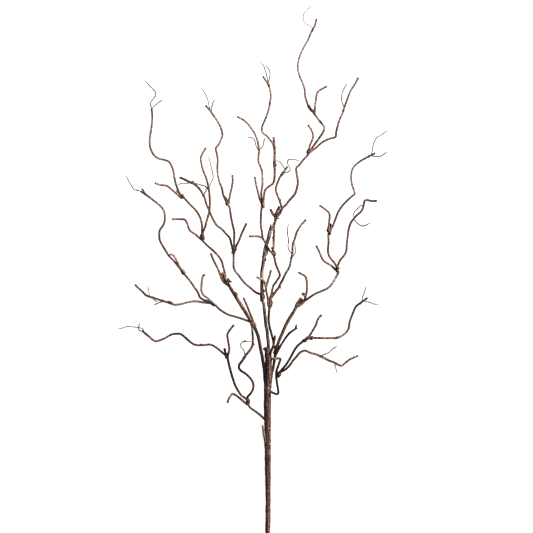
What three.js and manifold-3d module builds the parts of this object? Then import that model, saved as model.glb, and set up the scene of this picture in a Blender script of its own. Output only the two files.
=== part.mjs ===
import * as THREE from 'three';
import { mergeVertices } from 'three/addons/utils/BufferGeometryUtils.js';
import Module from 'manifold-3d';

// A made curly willow branch: twigs of paper-covered wire, bound with dark tape onto three boughs
// and one wrapped stem. It lies on its back on a surface. All sizes are millimetres: X is to the
// right, Y runs from the cut butt to the tips and Z is up.
//
// A limb's path lists the [x, y] places it passes, and its lift the heights of its middle line,
// spread evenly from its root to its tip.

const wasm = await Module();
wasm.setup();

const twigRadius = 1.55;
const wispRadius = 0.7;
const boughRadius = 2.6;
const centreBoughRadius = 2.35;
const cutWireRadius = 1.8;
const coreRadius = 1.6;
const stemGirths = [4.4, 4.5, 4.7, 5.4, 5.6, 5.9, 6.2, 6.3, 6, 5.2];

const gap = 0.3; // left all round where one piece is bound into another
const pressed = 0.35; // how far a limb that lies on the surface is pressed flat
const floorSize = 3000;
const floorDepth = 60;

const twigSides = 5;
const wispSides = 3;
const boughSides = 7;
const stemSides = 12;
const bindingSides = 6;
const knotSides = 5;
const twigPace = 12; // length of one straight step along a limb
const wispPace = 10;
const boughPace = 13;
const stemPace = 12;

const bindingShape = [0.55, 1, 0.92, 0.5]; // a binding's girth from end to end
const knotShape = [0.5, 1, 0.5];
const knotLength = 5;
const knotWidth = 4.4;
const bindingLump = 0.1; // how far a binding's surface swells and sinks, as a share of its girth
const lumpsAround = 3;
const lumpTurn = 2.1; // radians the lumps turn from one step to the next
const nearSamples = 120; // places tried along a limb when something is bound to it

const bark = { color: 0x53301f, roughness: 0.85, metalness: 0 };
const tape = { color: 0x2c1a12, roughness: 0.9, metalness: 0 };
const steel = { color: 0x8b8c8e, roughness: 0.45, metalness: 0.9 };

// ---- The stem ----

const mainStem = {
  finish: tape,
  limbs: [
    {
      path: [
        [0.5, -9], [0.5, 20], [0.5, 59], [0, 113], [0, 167], [0, 221], [0.5, 275], [1, 320], [1, 335],
      ],
      lift: [4.05, 4.05, 6, 10, 17, 26, 37],
      girths: stemGirths,
      sides: stemSides,
      pace: stemPace,
      lump: 0.05,
    },
    { path: [[-3, 160], [-6, 174], [-9, 194]], lift: [14, 19, 22], girths: [2.3, 2.3, 2.1], sides: 7 },
    { path: [[2, 331], [-4, 334], [-9, 330]], lift: [39, 40, 38], girths: [3.6, 3, 1.4], sides: 6 },
  ],
  bindings: [
    { at: [4, 160], length: 13, width: 8, height: 13 },
    { at: [-3, 86], length: 12, width: 6, height: 8 },
    { at: [-4, 120], length: 10, width: 5, height: 10 },
    { at: [-4, 212], length: 12, width: 6, height: 18 },
    { at: [0, 328], length: 16, width: 13 },
  ],
};

const stemWire = {
  finish: steel,
  limbs: [
    {
      path: [[0.5, -9.6], [0.5, 20], [0.5, 59], [0, 113], [0, 150], [0, 185]],
      lift: [4.2, 4.3, 6.4, 10, 14],
      girths: [coreRadius],
      sides: 6,
      pace: 24,
    },
  ],
};

// ---- The three boughs ----

const leftBough = {
  finish: tape,
  limbs: [
    {
      path: [
        [-2, 261], [-4, 275], [-5, 293], [-8, 313], [-11, 331], [-13, 342], [-17, 355], [-21, 365],
        [-25, 373], [-31, 383], [-40, 398], [-50, 414], [-60, 430], [-69, 445], [-76, 455], [-78, 462],
      ],
      lift: [25, 34, 47, 58, 70],
      girths: [boughRadius, boughRadius, 2.8, boughRadius],
      sides: boughSides,
      pace: boughPace,
      lump: 0.05,
    },
    {
      path: [[-74, 448], [-79, 452], [-82, 456], [-86, 467], [-90, 477], [-96, 491], [-102, 503]],
      lift: [67, 70, 76, 84],
    },
    {
      path: [[-25, 378], [-28, 387], [-33, 399], [-36, 407], [-39, 414], [-43, 423]],
      lift: [49, 55, 64],
    },
    { path: [[-73, 452], [-69, 453], [-65, 452]], lift: [69, 69], girths: [2.2, 1.9, 1.6] },
    { path: [[-60, 430], [-56, 428], [-53, 426]], lift: [63, 63], girths: [2.4, 2.2, 1.4] },
  ],
  bindings: [
    { at: [-26, 376], length: 17, width: 11 },
    { at: [-74, 454], length: 24, width: 12 },
  ],
};

const centreBough = {
  finish: tape,
  limbs: [
    {
      path: [
        [1, 322], [1, 335], [1, 344], [1, 351], [0, 364], [-2.5, 374], [-3.6, 383], [-5.6, 398],
        [-6.6, 410],
        [-9, 421], [-10, 432], [-10, 455], [-10, 470], [-9, 482], [-7, 493], [-5, 504], [-2.5, 517],
        [3, 535], [5, 545], [6.5, 556],
      ],
      lift: [35, 50, 66, 83, 100],
      girths: [centreBoughRadius, 2.2, 2.2, 2.2, 2],
      sides: boughSides,
      pace: boughPace,
      lump: 0.04,
    },
    { path: [[-9, 421], [-13, 418]], lift: [61, 61], girths: [1.8, 1.4] },
    { path: [[-6, 498], [-10, 497]], lift: [82, 82], girths: [1.8, 1.3] },
  ],
  bindings: [
    { at: [-9, 427], length: 18, width: 8 },
    { at: [-4, 505], length: 29, width: 8 },
  ],
};

const rightBough = {
  finish: tape,
  limbs: [
    {
      path: [
        [2.5, 247], [3.8, 254], [5.3, 268], [7.3, 284], [10.3, 297], [12, 308], [13.5, 317], [15, 329],
        [18, 338], [22, 349], [27, 360], [31.5, 371], [39, 385], [44, 395], [49.5, 405], [53, 411],
        [58, 418],
      ],
      lift: [24, 27, 36, 53, 74],
      girths: [2.3, 2.3, 2.6, 2.8, 2.8],
      sides: boughSides,
      pace: boughPace,
      lump: 0.05,
    },
    {
      path: [[59, 415], [66, 419], [69, 427], [71, 437], [71, 448], [70, 457], [68, 462], [56, 469]],
      lift: [74, 78, 84, 96],
    },
    {
      path: [[16, 322], [18, 327], [21, 332], [26, 341], [32, 350], [38, 358], [46, 364.5], [53, 369]],
      lift: [33, 37, 45, 55],
      girths: [1.8],
    },
    { path: [[50, 367], [52.5, 375]], lift: [54, 55], girths: [1.7] },
    { path: [[57, 417], [60, 424]], lift: [74, 76], girths: [1.7, 1.5] },
    { path: [[66, 421], [64, 431]], lift: [77, 78], girths: [1.7, 1.4] },
    { path: [[15, 330], [13, 336]], lift: [34, 36], girths: [2.2, 1.5] },
    { path: [[14, 327], [10.5, 323]], lift: [34, 35], girths: [2.2, 1.5] },
  ],
  bindings: [
    { at: [16, 330], length: 19, width: 9.5 },
    { at: [57, 416], length: 19, width: 10.5 },
  ],
};

// ---- Sprays on the left ----

const lowerLeft = {
  finish: bark,
  limbs: [
    {
      path: [[-2, 201], [-6, 205], [-13, 213], [-22, 220], [-31, 225], [-35, 231], [-35, 238]],
      lift: [16, 10, 8],
    },
    {
      path: [
        [-36, 231], [-44, 237], [-51, 243], [-58, 248], [-63, 250], [-67, 247], [-70, 241], [-72, 234],
      ],
      lift: [8, 4, 1.2, 1.2],
    },
    {
      path: [
        [-35, 236], [-36, 244], [-31, 250], [-26, 259], [-26, 269], [-30, 277], [-39, 286], [-48, 292],
        [-52.5, 296.5], [-51.5, 303.5], [-46, 311], [-39, 320], [-31.5, 329], [-27, 338], [-26.5, 347],
        [-27, 360], [-28, 374],
      ],
      lift: [9, 16, 26, 33, 36],
    },
    { path: [[-28, 337], [-23.5, 340]], lift: [33, 33.5], girths: [1.5, 1.2] },
  ],
  bindings: [{ at: [-35, 236], length: 12, width: 8.5 }],
  wisps: [
    {
      path: [
        [-42, 317], [-42, 326], [-47, 333], [-49, 338], [-46, 343], [-41, 345.5], [-35, 345],
        [-31, 344.5],
      ],
      rise: 4,
    },
  ],
  knots: [[-42, 317]],
};

const lowerLeftTip = {
  finish: bark,
  limbs: [
    {
      path: [
        [-35, 237], [-41, 243], [-46, 246], [-52, 254], [-58, 265], [-63, 279], [-67.5, 295],
        [-71, 310], [-73, 322],
      ],
      lift: [8.5, 14, 18],
    },
    {
      path: [[-72, 318], [-69, 329], [-70, 340], [-71, 351], [-72, 358], [-68, 365], [-61, 374]],
      lift: [18, 24, 34],
    },
    {
      path: [
        [-74, 318], [-82, 325], [-89, 331], [-98, 337], [-103.5, 339], [-116, 338], [-127, 338],
        [-134, 340], [-141, 346], [-148.5, 352], [-157, 358], [-165, 359.5], [-174, 358], [-184.5, 352],
        [-193.5, 347], [-201, 345], [-206, 347], [-213, 353], [-220.5, 359], [-226, 364],
      ],
      lift: [18, 12, 6, 1.2, 1.2, 6],
    },
    { path: [[-73, 320], [-76.5, 326], [-77, 331]], lift: [18, 22], girths: [1.5] },
  ],
  bindings: [{ at: [-73, 318], length: 13, width: 7 }],
  wisps: [
    { path: [[-226, 362], [-231, 364.5], [-232.5, 369], [-231, 377]], rise: 6 },
    {
      path: [
        [-222, 362], [-224, 366], [-229.5, 369], [-235, 370], [-246, 371], [-255, 371], [-264, 368],
        [-271, 367],
      ],
      rise: 10,
    },
  ],
  knots: [[-220, 358], [-143, 346], [-120, 340]],
};

const leftSide = {
  finish: bark,
  limbs: [
    {
      path: [
        [-26, 377], [-31.5, 380], [-40.5, 383.5], [-57, 388], [-71, 393], [-80, 398], [-87, 403],
        [-96, 410], [-103, 414],
      ],
      lift: [47, 40, 27, 12, 4.2],
    },
    {
      path: [
        [-103, 414], [-116, 415], [-131, 417], [-145, 415], [-156, 412], [-167, 410], [-171, 412],
        [-183, 416], [-195, 420], [-208, 424], [-219, 428], [-226, 435], [-233, 442], [-239, 447],
      ],
      lift: [4.2, 2, 1.2, 1.2, 3, 8],
    },
    {
      path: [
        [-98, 412], [-107, 422], [-116, 429], [-119, 436], [-119, 445], [-118, 455], [-117, 463],
        [-114, 465],
      ],
      lift: [4.6, 12, 20],
    },
  ],
  bindings: [
    { at: [-102, 414], length: 18, width: 9.5 },
    { at: [-175, 413], length: 10, width: 5 },
  ],
  wisps: [
    { path: [[-190, 417], [-197, 414], [-203, 411]], rise: 4 },
    { path: [[-208, 424], [-204, 419], [-199, 416]], rise: 6 },
    { path: [[-212, 428], [-214, 434], [-216, 443]], rise: 8 },
  ],
  knots: [[-189, 418], [-208, 424]],
};

const leftSideTip = {
  finish: bark,
  limbs: [
    {
      path: [
        [-103, 415], [-109, 418], [-114, 419], [-121, 425], [-125, 432], [-131, 441], [-140, 454],
        [-150, 468], [-154, 473],
      ],
      lift: [5.5, 16, 30],
    },
    {
      path: [
        [-154, 471], [-163, 483], [-170, 491], [-177, 500], [-184, 509], [-190, 519], [-194, 527],
        [-195, 536], [-194, 545], [-188, 554], [-185, 563], [-185, 572], [-187, 581], [-193, 589],
        [-203, 597], [-212, 604], [-221, 611], [-228, 616],
      ],
      lift: [30, 42, 52, 60, 70],
    },
    { path: [[-153, 472], [-163, 486], [-167, 497], [-171, 500], [-177, 501]], lift: [31, 38, 42] },
    { path: [[-219, 609], [-224, 615], [-226, 619]], lift: [69, 71], girths: [1.3, 1.9] },
  ],
  bindings: [{ at: [-153, 471], length: 11, width: 7.5 }],
  wisps: [
    { path: [[-228, 617], [-235, 617], [-240, 619], [-246, 626], [-249, 634], [-254, 642]], rise: 8 },
    { path: [[-226, 619], [-229.5, 624], [-233, 627]], rise: 4 },
  ],
  knots: [[-218, 609]],
};

const leftTop = {
  finish: bark,
  limbs: [
    {
      path: [
        [-75, 454], [-77, 468], [-80.5, 482], [-82, 488], [-87, 499], [-96, 509], [-111, 520],
        [-118, 529], [-118, 537],
      ],
      lift: [70, 70, 67, 62, 60],
    },
    {
      path: [[-118, 531], [-129, 536], [-140, 545], [-145, 558], [-149, 564], [-159, 565], [-172, 565]],
      lift: [60, 50, 40],
    },
    {
      path: [
        [-117, 533], [-116, 542], [-113, 549], [-110, 560], [-106, 574], [-104, 585], [-104, 599],
        [-105, 614], [-107, 626], [-111, 641], [-116, 653], [-119, 666], [-120, 675], [-117, 683],
        [-111, 693],
      ],
      lift: [61, 66, 74, 86, 100],
    },
    { path: [[-106, 618], [-113, 625]], lift: [75.5, 77], girths: [1.4, 1.2] },
  ],
  bindings: [{ at: [-118, 533], length: 14, width: 8.5 }],
  wisps: [
    {
      path: [[-106, 621], [-102, 630], [-98, 639], [-99, 650], [-102, 661], [-104, 671], [-107, 677]],
      rise: 10,
    },
  ],
  knots: [[-107, 621]],
};

const leftTopTip = {
  finish: bark,
  limbs: [
    {
      path: [
        [-118, 534], [-118, 543], [-118, 554], [-121, 567], [-127, 580], [-140, 592], [-150, 603],
        [-155, 608],
      ],
      lift: [60, 50, 38],
    },
    {
      path: [[-153, 605], [-165, 610], [-174, 619], [-181, 625], [-194, 627], [-203, 630]],
      lift: [38, 32, 30],
    },
    {
      path: [
        [-154, 605], [-158, 611], [-161, 617], [-165, 628], [-168, 641], [-170, 653], [-174, 663],
        [-178, 669], [-186, 671], [-197, 675], [-204, 680], [-209, 688], [-212, 698], [-212, 711],
        [-210, 725], [-208, 740], [-208, 756], [-209, 765],
      ],
      lift: [38, 22, 8, 1.2, 6, 16],
    },
  ],
  bindings: [{ at: [-154, 606], length: 10, width: 6.5 }],
  wisps: [
    {
      path: [
        [-209, 767], [-211, 774], [-206, 782], [-202, 788], [-202, 794], [-206, 799], [-213, 806],
        [-221, 815],
      ],
      rise: 12,
    },
    { path: [[-207, 765], [-203, 770], [-197, 775], [-189, 780]], rise: 5 },
  ],
  knots: [[-209, 763]],
};

// ---- Sprays on the centre bough ----

const middleLeft = {
  finish: bark,
  limbs: [
    {
      path: [
        [-8, 428], [-13, 430], [-19, 432], [-25, 436], [-31.5, 440.5], [-40.5, 448], [-46, 456],
        [-52, 464], [-58.5, 472], [-61, 479], [-61, 488], [-61, 502], [-61, 512],
      ],
      lift: [63, 67, 76, 90],
    },
    {
      path: [
        [-61, 506], [-65, 520], [-68, 531], [-75, 539], [-82, 547], [-91, 553.5], [-96, 561],
        [-103, 573], [-105, 581], [-110, 592], [-113, 603], [-116, 609], [-120, 616], [-125, 622],
        [-132, 628], [-136, 632], [-143, 634], [-150, 636], [-158, 640],
      ],
      lift: [90, 96, 102, 100, 94, 90],
    },
    { path: [[-60, 506], [-56, 517], [-51, 527], [-46, 540], [-39, 557]], lift: [90, 98, 108] },
    { path: [[-137, 631], [-134, 635]], lift: [92, 92.5], girths: [1.3, 1.1] },
  ],
  bindings: [{ at: [-61, 508], length: 15, width: 8.5 }],
  wisps: [
    { path: [[-138, 630.5], [-145, 629.5], [-154, 629.5], [-161, 627]], rise: -3 },
    { path: [[-132, 630], [-125, 628], [-118, 626], [-112.5, 625]], rise: 3 },
    { path: [[-114, 608], [-112.5, 613], [-110, 616], [-112, 619]], rise: 3 },
  ],
  knots: [[-136, 632], [-114, 607]],
};

const middleLeftTip = {
  finish: bark,
  limbs: [
    {
      path: [
        [-61, 508], [-60, 516], [-60, 527], [-60, 542], [-63, 556], [-66, 571], [-68, 585], [-71, 592],
        [-73, 597],
      ],
      lift: [91.5, 98, 104],
    },
    {
      path: [
        [-72, 593], [-76.5, 601], [-80, 610], [-82, 621], [-85, 628], [-88, 639], [-90, 652],
        [-90, 662], [-89.5, 671], [-91, 682], [-93, 691], [-92, 694], [-87, 700], [-84, 707],
        [-81, 715], [-82, 723], [-85, 732], [-88, 740], [-94.5, 748], [-98, 753], [-103.5, 760.5],
        [-111, 769],
      ],
      lift: [104, 110, 118, 130, 142],
    },
    {
      path: [[-71, 593], [-69, 600], [-67, 610], [-64, 623], [-62.5, 634], [-63, 643.5]],
      lift: [104, 112, 124],
    },
  ],
  bindings: [{ at: [-72, 594], length: 13, width: 8 }],
  wisps: [
    { path: [[-99, 758], [-100, 767], [-98, 774], [-95, 780]], rise: 6 },
    { path: [[-100, 760], [-105, 769], [-107, 778], [-110, 786], [-114, 794], [-120, 802]], rise: 9 },
  ],
  knots: [[-98, 752]],
};

const centreLow = {
  finish: bark,
  limbs: [
    {
      path: [
        [4.5, 319], [6, 326], [9, 333], [11, 339], [10, 347], [8, 355], [6, 363], [4, 370], [2.5, 379],
        [2, 387], [2.7, 396], [3.6, 405], [4.5, 416],
      ],
      lift: [40, 47, 53, 59, 65],
    },
    { path: [[10.5, 336], [12.5, 347], [13.5, 355]], lift: [46, 53], girths: [1.8] },
    {
      path: [
        [3, 414], [1, 419], [0, 426], [-2, 434], [-3, 442], [-4.5, 448], [-6, 453], [-10, 456],
        [-15, 458.5], [-19.5, 461],
      ],
      lift: [65, 71, 78, 81],
    },
    { path: [[-3, 440], [-1, 448], [1, 455], [4, 464], [6, 473]], lift: [73.5, 80] },
    {
      path: [
        [5, 414], [7, 423], [11, 429], [15, 435], [21, 443], [23, 448], [27, 455], [32, 466],
        [37, 474], [40.5, 482], [42, 491], [44, 499], [45, 506], [45, 513], [46, 521], [49, 529],
        [53, 542], [59, 552], [69, 564],
      ],
      lift: [62.5, 67, 74, 83, 95],
    },
    { path: [[5, 413], [10, 415]], lift: [64, 64], girths: [1.6, 1.3] },
  ],
  bindings: [{ at: [4.5, 411], length: 18, width: 8 }],
  wisps: [
    {
      path: [[43.5, 502], [40, 507], [38, 511], [37, 518], [38, 527], [36, 538], [36, 547], [38, 556]],
      rise: 9,
    },
    { path: [[46, 499], [49.5, 503], [50, 509], [49.5, 517], [48, 522]], rise: 4 },
  ],
  knots: [[17, 438], [43.5, 497], [46, 521]],
};

const centreRight = {
  finish: bark,
  limbs: [
    {
      path: [
        [4.5, 415], [5.5, 422], [7, 428], [8, 434], [9.5, 441], [11, 446], [13.5, 451], [18, 456],
        [21.5, 461], [22, 466], [19.5, 472.5], [16, 481], [13.5, 490], [11, 498], [11, 513], [11, 531],
        [12, 542], [12, 553], [14, 562], [16, 575],
      ],
      lift: [67, 75, 84, 93, 102, 110],
    },
    { path: [[14, 570], [9, 577], [5, 583]], lift: [109, 113], girths: [cutWireRadius] },
    { path: [[17, 573], [20, 583], [22, 589]], lift: [110, 117], girths: [cutWireRadius] },
    {
      path: [
        [17, 571], [22, 574.5], [25, 580], [26, 585], [23, 594], [20, 603], [17, 610], [15, 619],
        [16.5, 626], [21, 635], [25, 643], [31, 652.5], [36, 659],
      ],
      lift: [112, 119, 122, 126, 132],
    },
    { path: [[14, 566], [9, 552], [4.5, 538]], lift: [109, 103, 95.5], girths: [1.6, 1.5, 1.4] },
    { path: [[16, 568], [20, 564]], lift: [110, 109], girths: [1.8, 1.2] },
    { path: [[22, 598], [24.5, 600]], lift: [120, 120.5], girths: [1.5, 1] },
  ],
  bindings: [
    { at: [11, 503], length: 15, width: 8.5 },
    { at: [15.5, 572], length: 20, width: 11 },
    { at: [27, 647], length: 9, width: 5 },
  ],
  wisps: [
    { path: [[31, 654], [29, 661], [25, 667], [21, 670], [16, 671]], rise: 5 },
    { path: [[32, 649], [40, 652], [38, 659], [36, 668], [37, 672], [46, 673.5], [56, 671]], rise: 8 },
  ],
};

const centreLeft = {
  finish: bark,
  limbs: [
    {
      path: [
        [9, 503], [3.5, 509], [-1, 517], [-4.5, 524], [-8.5, 531], [-10, 542], [-12, 554], [-12, 567],
        [-11, 581], [-9, 596],
      ],
      lift: [95.5, 102, 109, 116],
    },
    { path: [[-8, 529], [-12, 532.5], [-17, 534], [-22.5, 534], [-33, 534]], lift: [101.5, 104] },
    {
      path: [[-9.5, 592], [-13.5, 603], [-17, 617], [-21, 630], [-22.5, 641]],
      lift: [115.5, 114, 112],
    },
    {
      path: [
        [-9.5, 594], [-11, 606], [-11, 614], [-9, 626], [-9, 639], [-9.5, 650], [-13, 660], [-16, 668],
        [-16, 680], [-15, 688], [-16, 695], [-18, 706], [-22.5, 718], [-28, 727], [-36, 737],
        [-43, 743], [-54, 749],
      ],
      lift: [114.5, 118, 127, 138, 150],
    },
  ],
  bindings: [{ at: [-9.5, 593], length: 21, width: 9 }],
  wisps: [
    { path: [[-16, 690], [-21, 698], [-22.5, 706], [-28, 711], [-35, 711]], rise: 5 },
    { path: [[-14, 689], [-9, 695], [-7, 700], [-6, 707], [-4.5, 711]], rise: 5 },
  ],
  knots: [[-15, 687]],
};

const centreTop = {
  finish: bark,
  limbs: [
    {
      path: [
        [-8, 592], [-7, 600], [-6, 608], [-4.5, 616.5], [-1, 621], [5, 625.5], [10, 629], [12, 635],
        [13, 650], [12.6, 671], [13, 684], [12.5, 695], [12, 702], [11, 712],
      ],
      lift: [119, 123, 128, 134],
    },
    {
      path: [
        [12.5, 693], [10, 700], [4.5, 708], [-2, 715], [-8, 720], [-10, 725], [-9, 733], [-5, 742],
        [-1, 752], [3, 765], [4.5, 774], [6, 785], [5, 796], [2, 805.5], [-2, 812], [-8, 821],
      ],
      lift: [133, 146, 160, 176],
    },
  ],
  bindings: [
    { at: [13, 664], length: 15, width: 6 },
    { at: [12, 695], length: 9, width: 5.5 },
  ],
  wisps: [
    { path: [[2, 809], [-1, 821], [-4, 832], [-7, 840], [-13, 846]], rise: 8 },
    { path: [[3, 808], [4.5, 823], [4, 830], [-3, 841.5]], rise: 12 },
  ],
  knots: [[2, 806], [4, 773]],
};

// ---- Sprays on the right ----

const highRight = {
  finish: bark,
  limbs: [
    {
      path: [
        [17, 569], [20, 575], [24, 580], [28, 586], [35, 592], [40.5, 600], [48, 607.5], [52, 617],
        [54.5, 628], [54, 639], [52, 650], [52, 657], [57, 662], [64, 671], [73, 681], [75, 687],
      ],
      lift: [107.5, 110, 117, 126],
    },
    {
      path: [[74, 684], [76, 697], [80, 706], [82, 713], [81, 720], [78, 727], [73, 734]],
      lift: [125, 130, 136],
    },
    {
      path: [
        [74, 683], [80, 688], [87, 693], [94.5, 700], [103.5, 706], [112.5, 710], [121, 712.5],
        [124, 717], [124, 724.5], [127, 735], [130.5, 746], [135, 755], [138, 765], [139.5, 774],
        [144, 785], [150, 796.5], [157.5, 808], [163, 819],
      ],
      lift: [124.5, 124, 130, 138, 146],
    },
  ],
  bindings: [{ at: [74, 685], length: 13, width: 7.5 }],
  wisps: [{ path: [[137, 766], [134, 776], [133, 785], [136, 796], [143, 809]], rise: 7 }],
  knots: [[137, 760]],
};

const highTop = {
  finish: bark,
  limbs: [
    {
      path: [
        [74, 686], [79, 691.5], [84, 698], [91, 708], [98, 718], [102, 726], [102, 731], [98, 736],
        [91, 745], [84, 755], [78, 763],
      ],
      lift: [128, 140, 150],
    },
    {
      path: [
        [81, 758], [75, 765], [72, 772], [68, 785], [67, 797], [64, 808], [59, 819], [56, 828],
        [54.5, 839], [56, 850], [59, 860], [65, 873], [73, 887], [78, 899], [81, 905], [85, 912],
        [87, 920], [88, 924],
      ],
      lift: [150, 158, 168, 182],
    },
    {
      path: [[82, 757], [85.5, 770], [87, 781], [89, 791], [91.5, 796], [96, 799], [106, 805]],
      lift: [150, 153, 160],
    },
    { path: [[74, 766], [76, 770]], lift: [151, 152], girths: [1.6, 1.3] },
    { path: [[99, 735], [94, 741]], lift: [146, 147.5], girths: [1.6, 2.2] },
  ],
  bindings: [{ at: [79, 761], length: 21, width: 8.5 }],
  wisps: [
    {
      path: [
        [82, 906], [76.5, 912], [69, 916], [65, 922], [64, 928], [66, 935], [69, 941], [74, 945],
        [79, 947],
      ],
      rise: 10,
    },
  ],
  knots: [[81, 904]],
};

const rightSide = {
  finish: bark,
  limbs: [
    {
      path: [
        [61, 415], [67.5, 418], [76.5, 424.5], [87, 431], [100, 436.5], [109, 441], [116, 448],
        [122, 458], [127, 468], [126, 477],
      ],
      lift: [72, 60, 44, 30],
    },
    {
      path: [[126, 471], [115, 481.5], [107, 486], [101, 490.5], [97, 497], [94, 505], [88, 517]],
      lift: [30, 36, 44],
    },
    {
      path: [
        [125, 474], [127, 481.5], [131, 491], [139, 501], [142, 508], [143, 520], [145, 536],
        [147, 549], [150, 560], [154, 566], [161, 572], [169, 579], [173, 587], [174, 596],
        [176, 599], [181, 599.5], [188, 598], [197, 598],
      ],
      lift: [29, 22, 10, 1.2, 1.2],
    },
  ],
  bindings: [{ at: [125.5, 473], length: 14, width: 8 }],
  wisps: [
    { path: [[155, 568], [156, 576], [161, 582], [169, 591]], rise: 6 },
    { path: [[155, 565], [163, 557], [170, 553], [177, 554], [184.5, 558]], rise: 3 },
  ],
  knots: [[154, 565]],
};

const rightSideTip = {
  finish: bark,
  limbs: [
    {
      path: [
        [126, 473], [124, 480], [121, 486], [115, 493], [111, 499], [109, 508], [110, 522], [110, 536],
        [111, 549],
      ],
      lift: [32, 44, 56],
    },
    {
      path: [[110, 543], [111, 558], [112, 571], [111, 576], [105, 582], [94, 589.5]],
      lift: [56, 62, 70],
    },
    {
      path: [
        [112, 543], [118, 553.5], [122, 564], [127, 577], [134, 588], [143, 598], [152, 606],
        [157, 610.5], [156, 616], [153, 625], [151, 635], [151, 646], [153, 655], [159, 663],
        [168, 670], [177, 675], [184, 679], [193.5, 683.5],
      ],
      lift: [56, 60, 66, 76, 90],
    },
    { path: [[112, 548], [114.5, 555]], lift: [57, 58], girths: [1.5, 1.2] },
  ],
  bindings: [{ at: [110.5, 543], length: 20, width: 7.5 }],
  wisps: [
    {
      path: [
        [186, 681], [189, 689], [190, 697.5], [193.5, 706.5], [197, 712], [204, 716], [216, 724.5],
      ],
      rise: 10,
    },
    { path: [[184.5, 679], [193.5, 678], [202.5, 678], [208, 681], [215, 686]], rise: 4 },
  ],
  knots: [[184, 678]],
};

const lowerRight = {
  finish: bark,
  limbs: [
    {
      path: [[2, 256], [6, 252], [12, 250], [18, 250], [20.5, 255], [19.5, 266], [17, 279], [19, 290]],
      lift: [18, 18, 21, 24],
    },
    {
      path: [
        [18, 286], [17, 291], [18, 295], [21, 302], [23, 309], [23, 313], [20, 315], [13, 314.5],
        [8, 314.5],
      ],
      lift: [25, 31, 36, 37.5, 38.5],
    },
    {
      path: [
        [19, 286], [24, 290], [31.5, 293.5], [39, 300], [46, 310], [53, 319], [58, 324], [66, 328],
        [70, 327.5], [78, 324], [89, 321], [98, 317], [109, 311], [120, 307], [127, 303], [134, 301],
        [139.5, 305], [148, 312], [154, 315], [163, 318.6],
      ],
      lift: [24, 18, 10, 3, 1.2, 1.2, 8],
    },
  ],
  bindings: [
    { at: [18.5, 286], length: 13, width: 8 },
    { at: [104, 314], length: 21, width: 5 },
  ],
  wisps: [
    { path: [[96, 319], [105, 322], [113, 327], [118, 331.5], [124, 335]], rise: 5 },
    { path: [[120, 306], [122, 298], [125, 286]], rise: 3 },
  ],
};

const lowerRightTip = {
  finish: bark,
  limbs: [
    {
      path: [
        [20, 287], [25, 295], [31.5, 303], [39, 315], [46, 328], [53, 337.5], [60, 343], [67, 347],
        [73, 349.5],
      ],
      lift: [25.5, 25, 22],
    },
    {
      path: [[69, 347], [76.5, 358], [82, 365], [87, 373.5], [90, 382.5], [93, 388], [97.6, 392]],
      lift: [22, 28, 36],
    },
    {
      path: [
        [69, 349], [76, 350.5], [87, 351], [103.5, 350.5], [118, 351], [124, 351], [134, 354.6],
        [141, 360], [146, 367], [148.5, 380], [151, 390.6], [155, 400.5], [160, 408], [168, 414],
        [174, 418.5], [180, 423],
      ],
      lift: [21.5, 12, 4, 1.2, 4, 12],
    },
  ],
  bindings: [
    { at: [69, 348], length: 14, width: 8 },
    { at: [124, 351], length: 7, width: 4.4 },
  ],
  wisps: [
    { path: [[169, 417], [172, 426], [175, 434], [177, 443]], rise: 6 },
    { path: [[173, 418], [184.5, 415], [192.6, 412], [200.7, 411.7]], rise: 4 },
  ],
  knots: [[169, 415]],
};

// Each spray's name, and the sprays whose roots are bound into it.
const sprays = {
  main_stem: {
    form: mainStem,
    holds: [
      'stem_wire', 'left_bough', 'centre_bough', 'right_bough', 'lower_left', 'lower_right',
      'centre_low',
    ],
  },
  stem_wire: { form: stemWire, holds: [] },
  left_bough: { form: leftBough, holds: ['left_side', 'left_top'] },
  centre_bough: { form: centreBough, holds: ['middle_left', 'centre_right'] },
  right_bough: { form: rightBough, holds: ['right_side'] },
  lower_left: { form: lowerLeft, holds: ['lower_left_tip'] },
  lower_left_tip: { form: lowerLeftTip, holds: [] },
  left_side: { form: leftSide, holds: ['left_side_tip'] },
  left_side_tip: { form: leftSideTip, holds: [] },
  left_top: { form: leftTop, holds: ['left_top_tip'] },
  left_top_tip: { form: leftTopTip, holds: [] },
  middle_left: { form: middleLeft, holds: ['middle_left_tip'] },
  middle_left_tip: { form: middleLeftTip, holds: [] },
  centre_low: { form: centreLow, holds: ['centre_right'] },
  centre_right: { form: centreRight, holds: ['centre_left', 'high_right'] },
  centre_left: { form: centreLeft, holds: ['centre_top'] },
  centre_top: { form: centreTop, holds: [] },
  high_right: { form: highRight, holds: ['high_top'] },
  high_top: { form: highTop, holds: [] },
  right_side: { form: rightSide, holds: ['right_side_tip'] },
  right_side_tip: { form: rightSideTip, holds: [] },
  lower_right: { form: lowerRight, holds: ['lower_right_tip'] },
  lower_right_tip: { form: lowerRightTip, holds: [] },
};

// ---- Making the solids ----

// The value a fraction of the way along a short list, on a smooth curve through all its entries.
function along(list, fraction) {
  if (list.length === 1) return list[0];
  const curve = new THREE.SplineCurve(list.map((value, place) => new THREE.Vector2(place, value)));
  return curve.getPoint(fraction).y;
}

function routeOf({ path, lift }, lowest) {
  const reached = [0];
  for (let i = 1; i < path.length; i += 1) {
    reached.push(reached[i - 1] + Math.hypot(path[i][0] - path[i - 1][0], path[i][1] - path[i - 1][1]));
  }
  const places = path.map(([x, y], i) => {
    const height = along(lift, reached[i] / reached.at(-1));
    return new THREE.Vector3(x, y, Math.max(height, lowest));
  });
  return new THREE.CatmullRomCurve3(places, false, 'centripetal');
}

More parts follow.
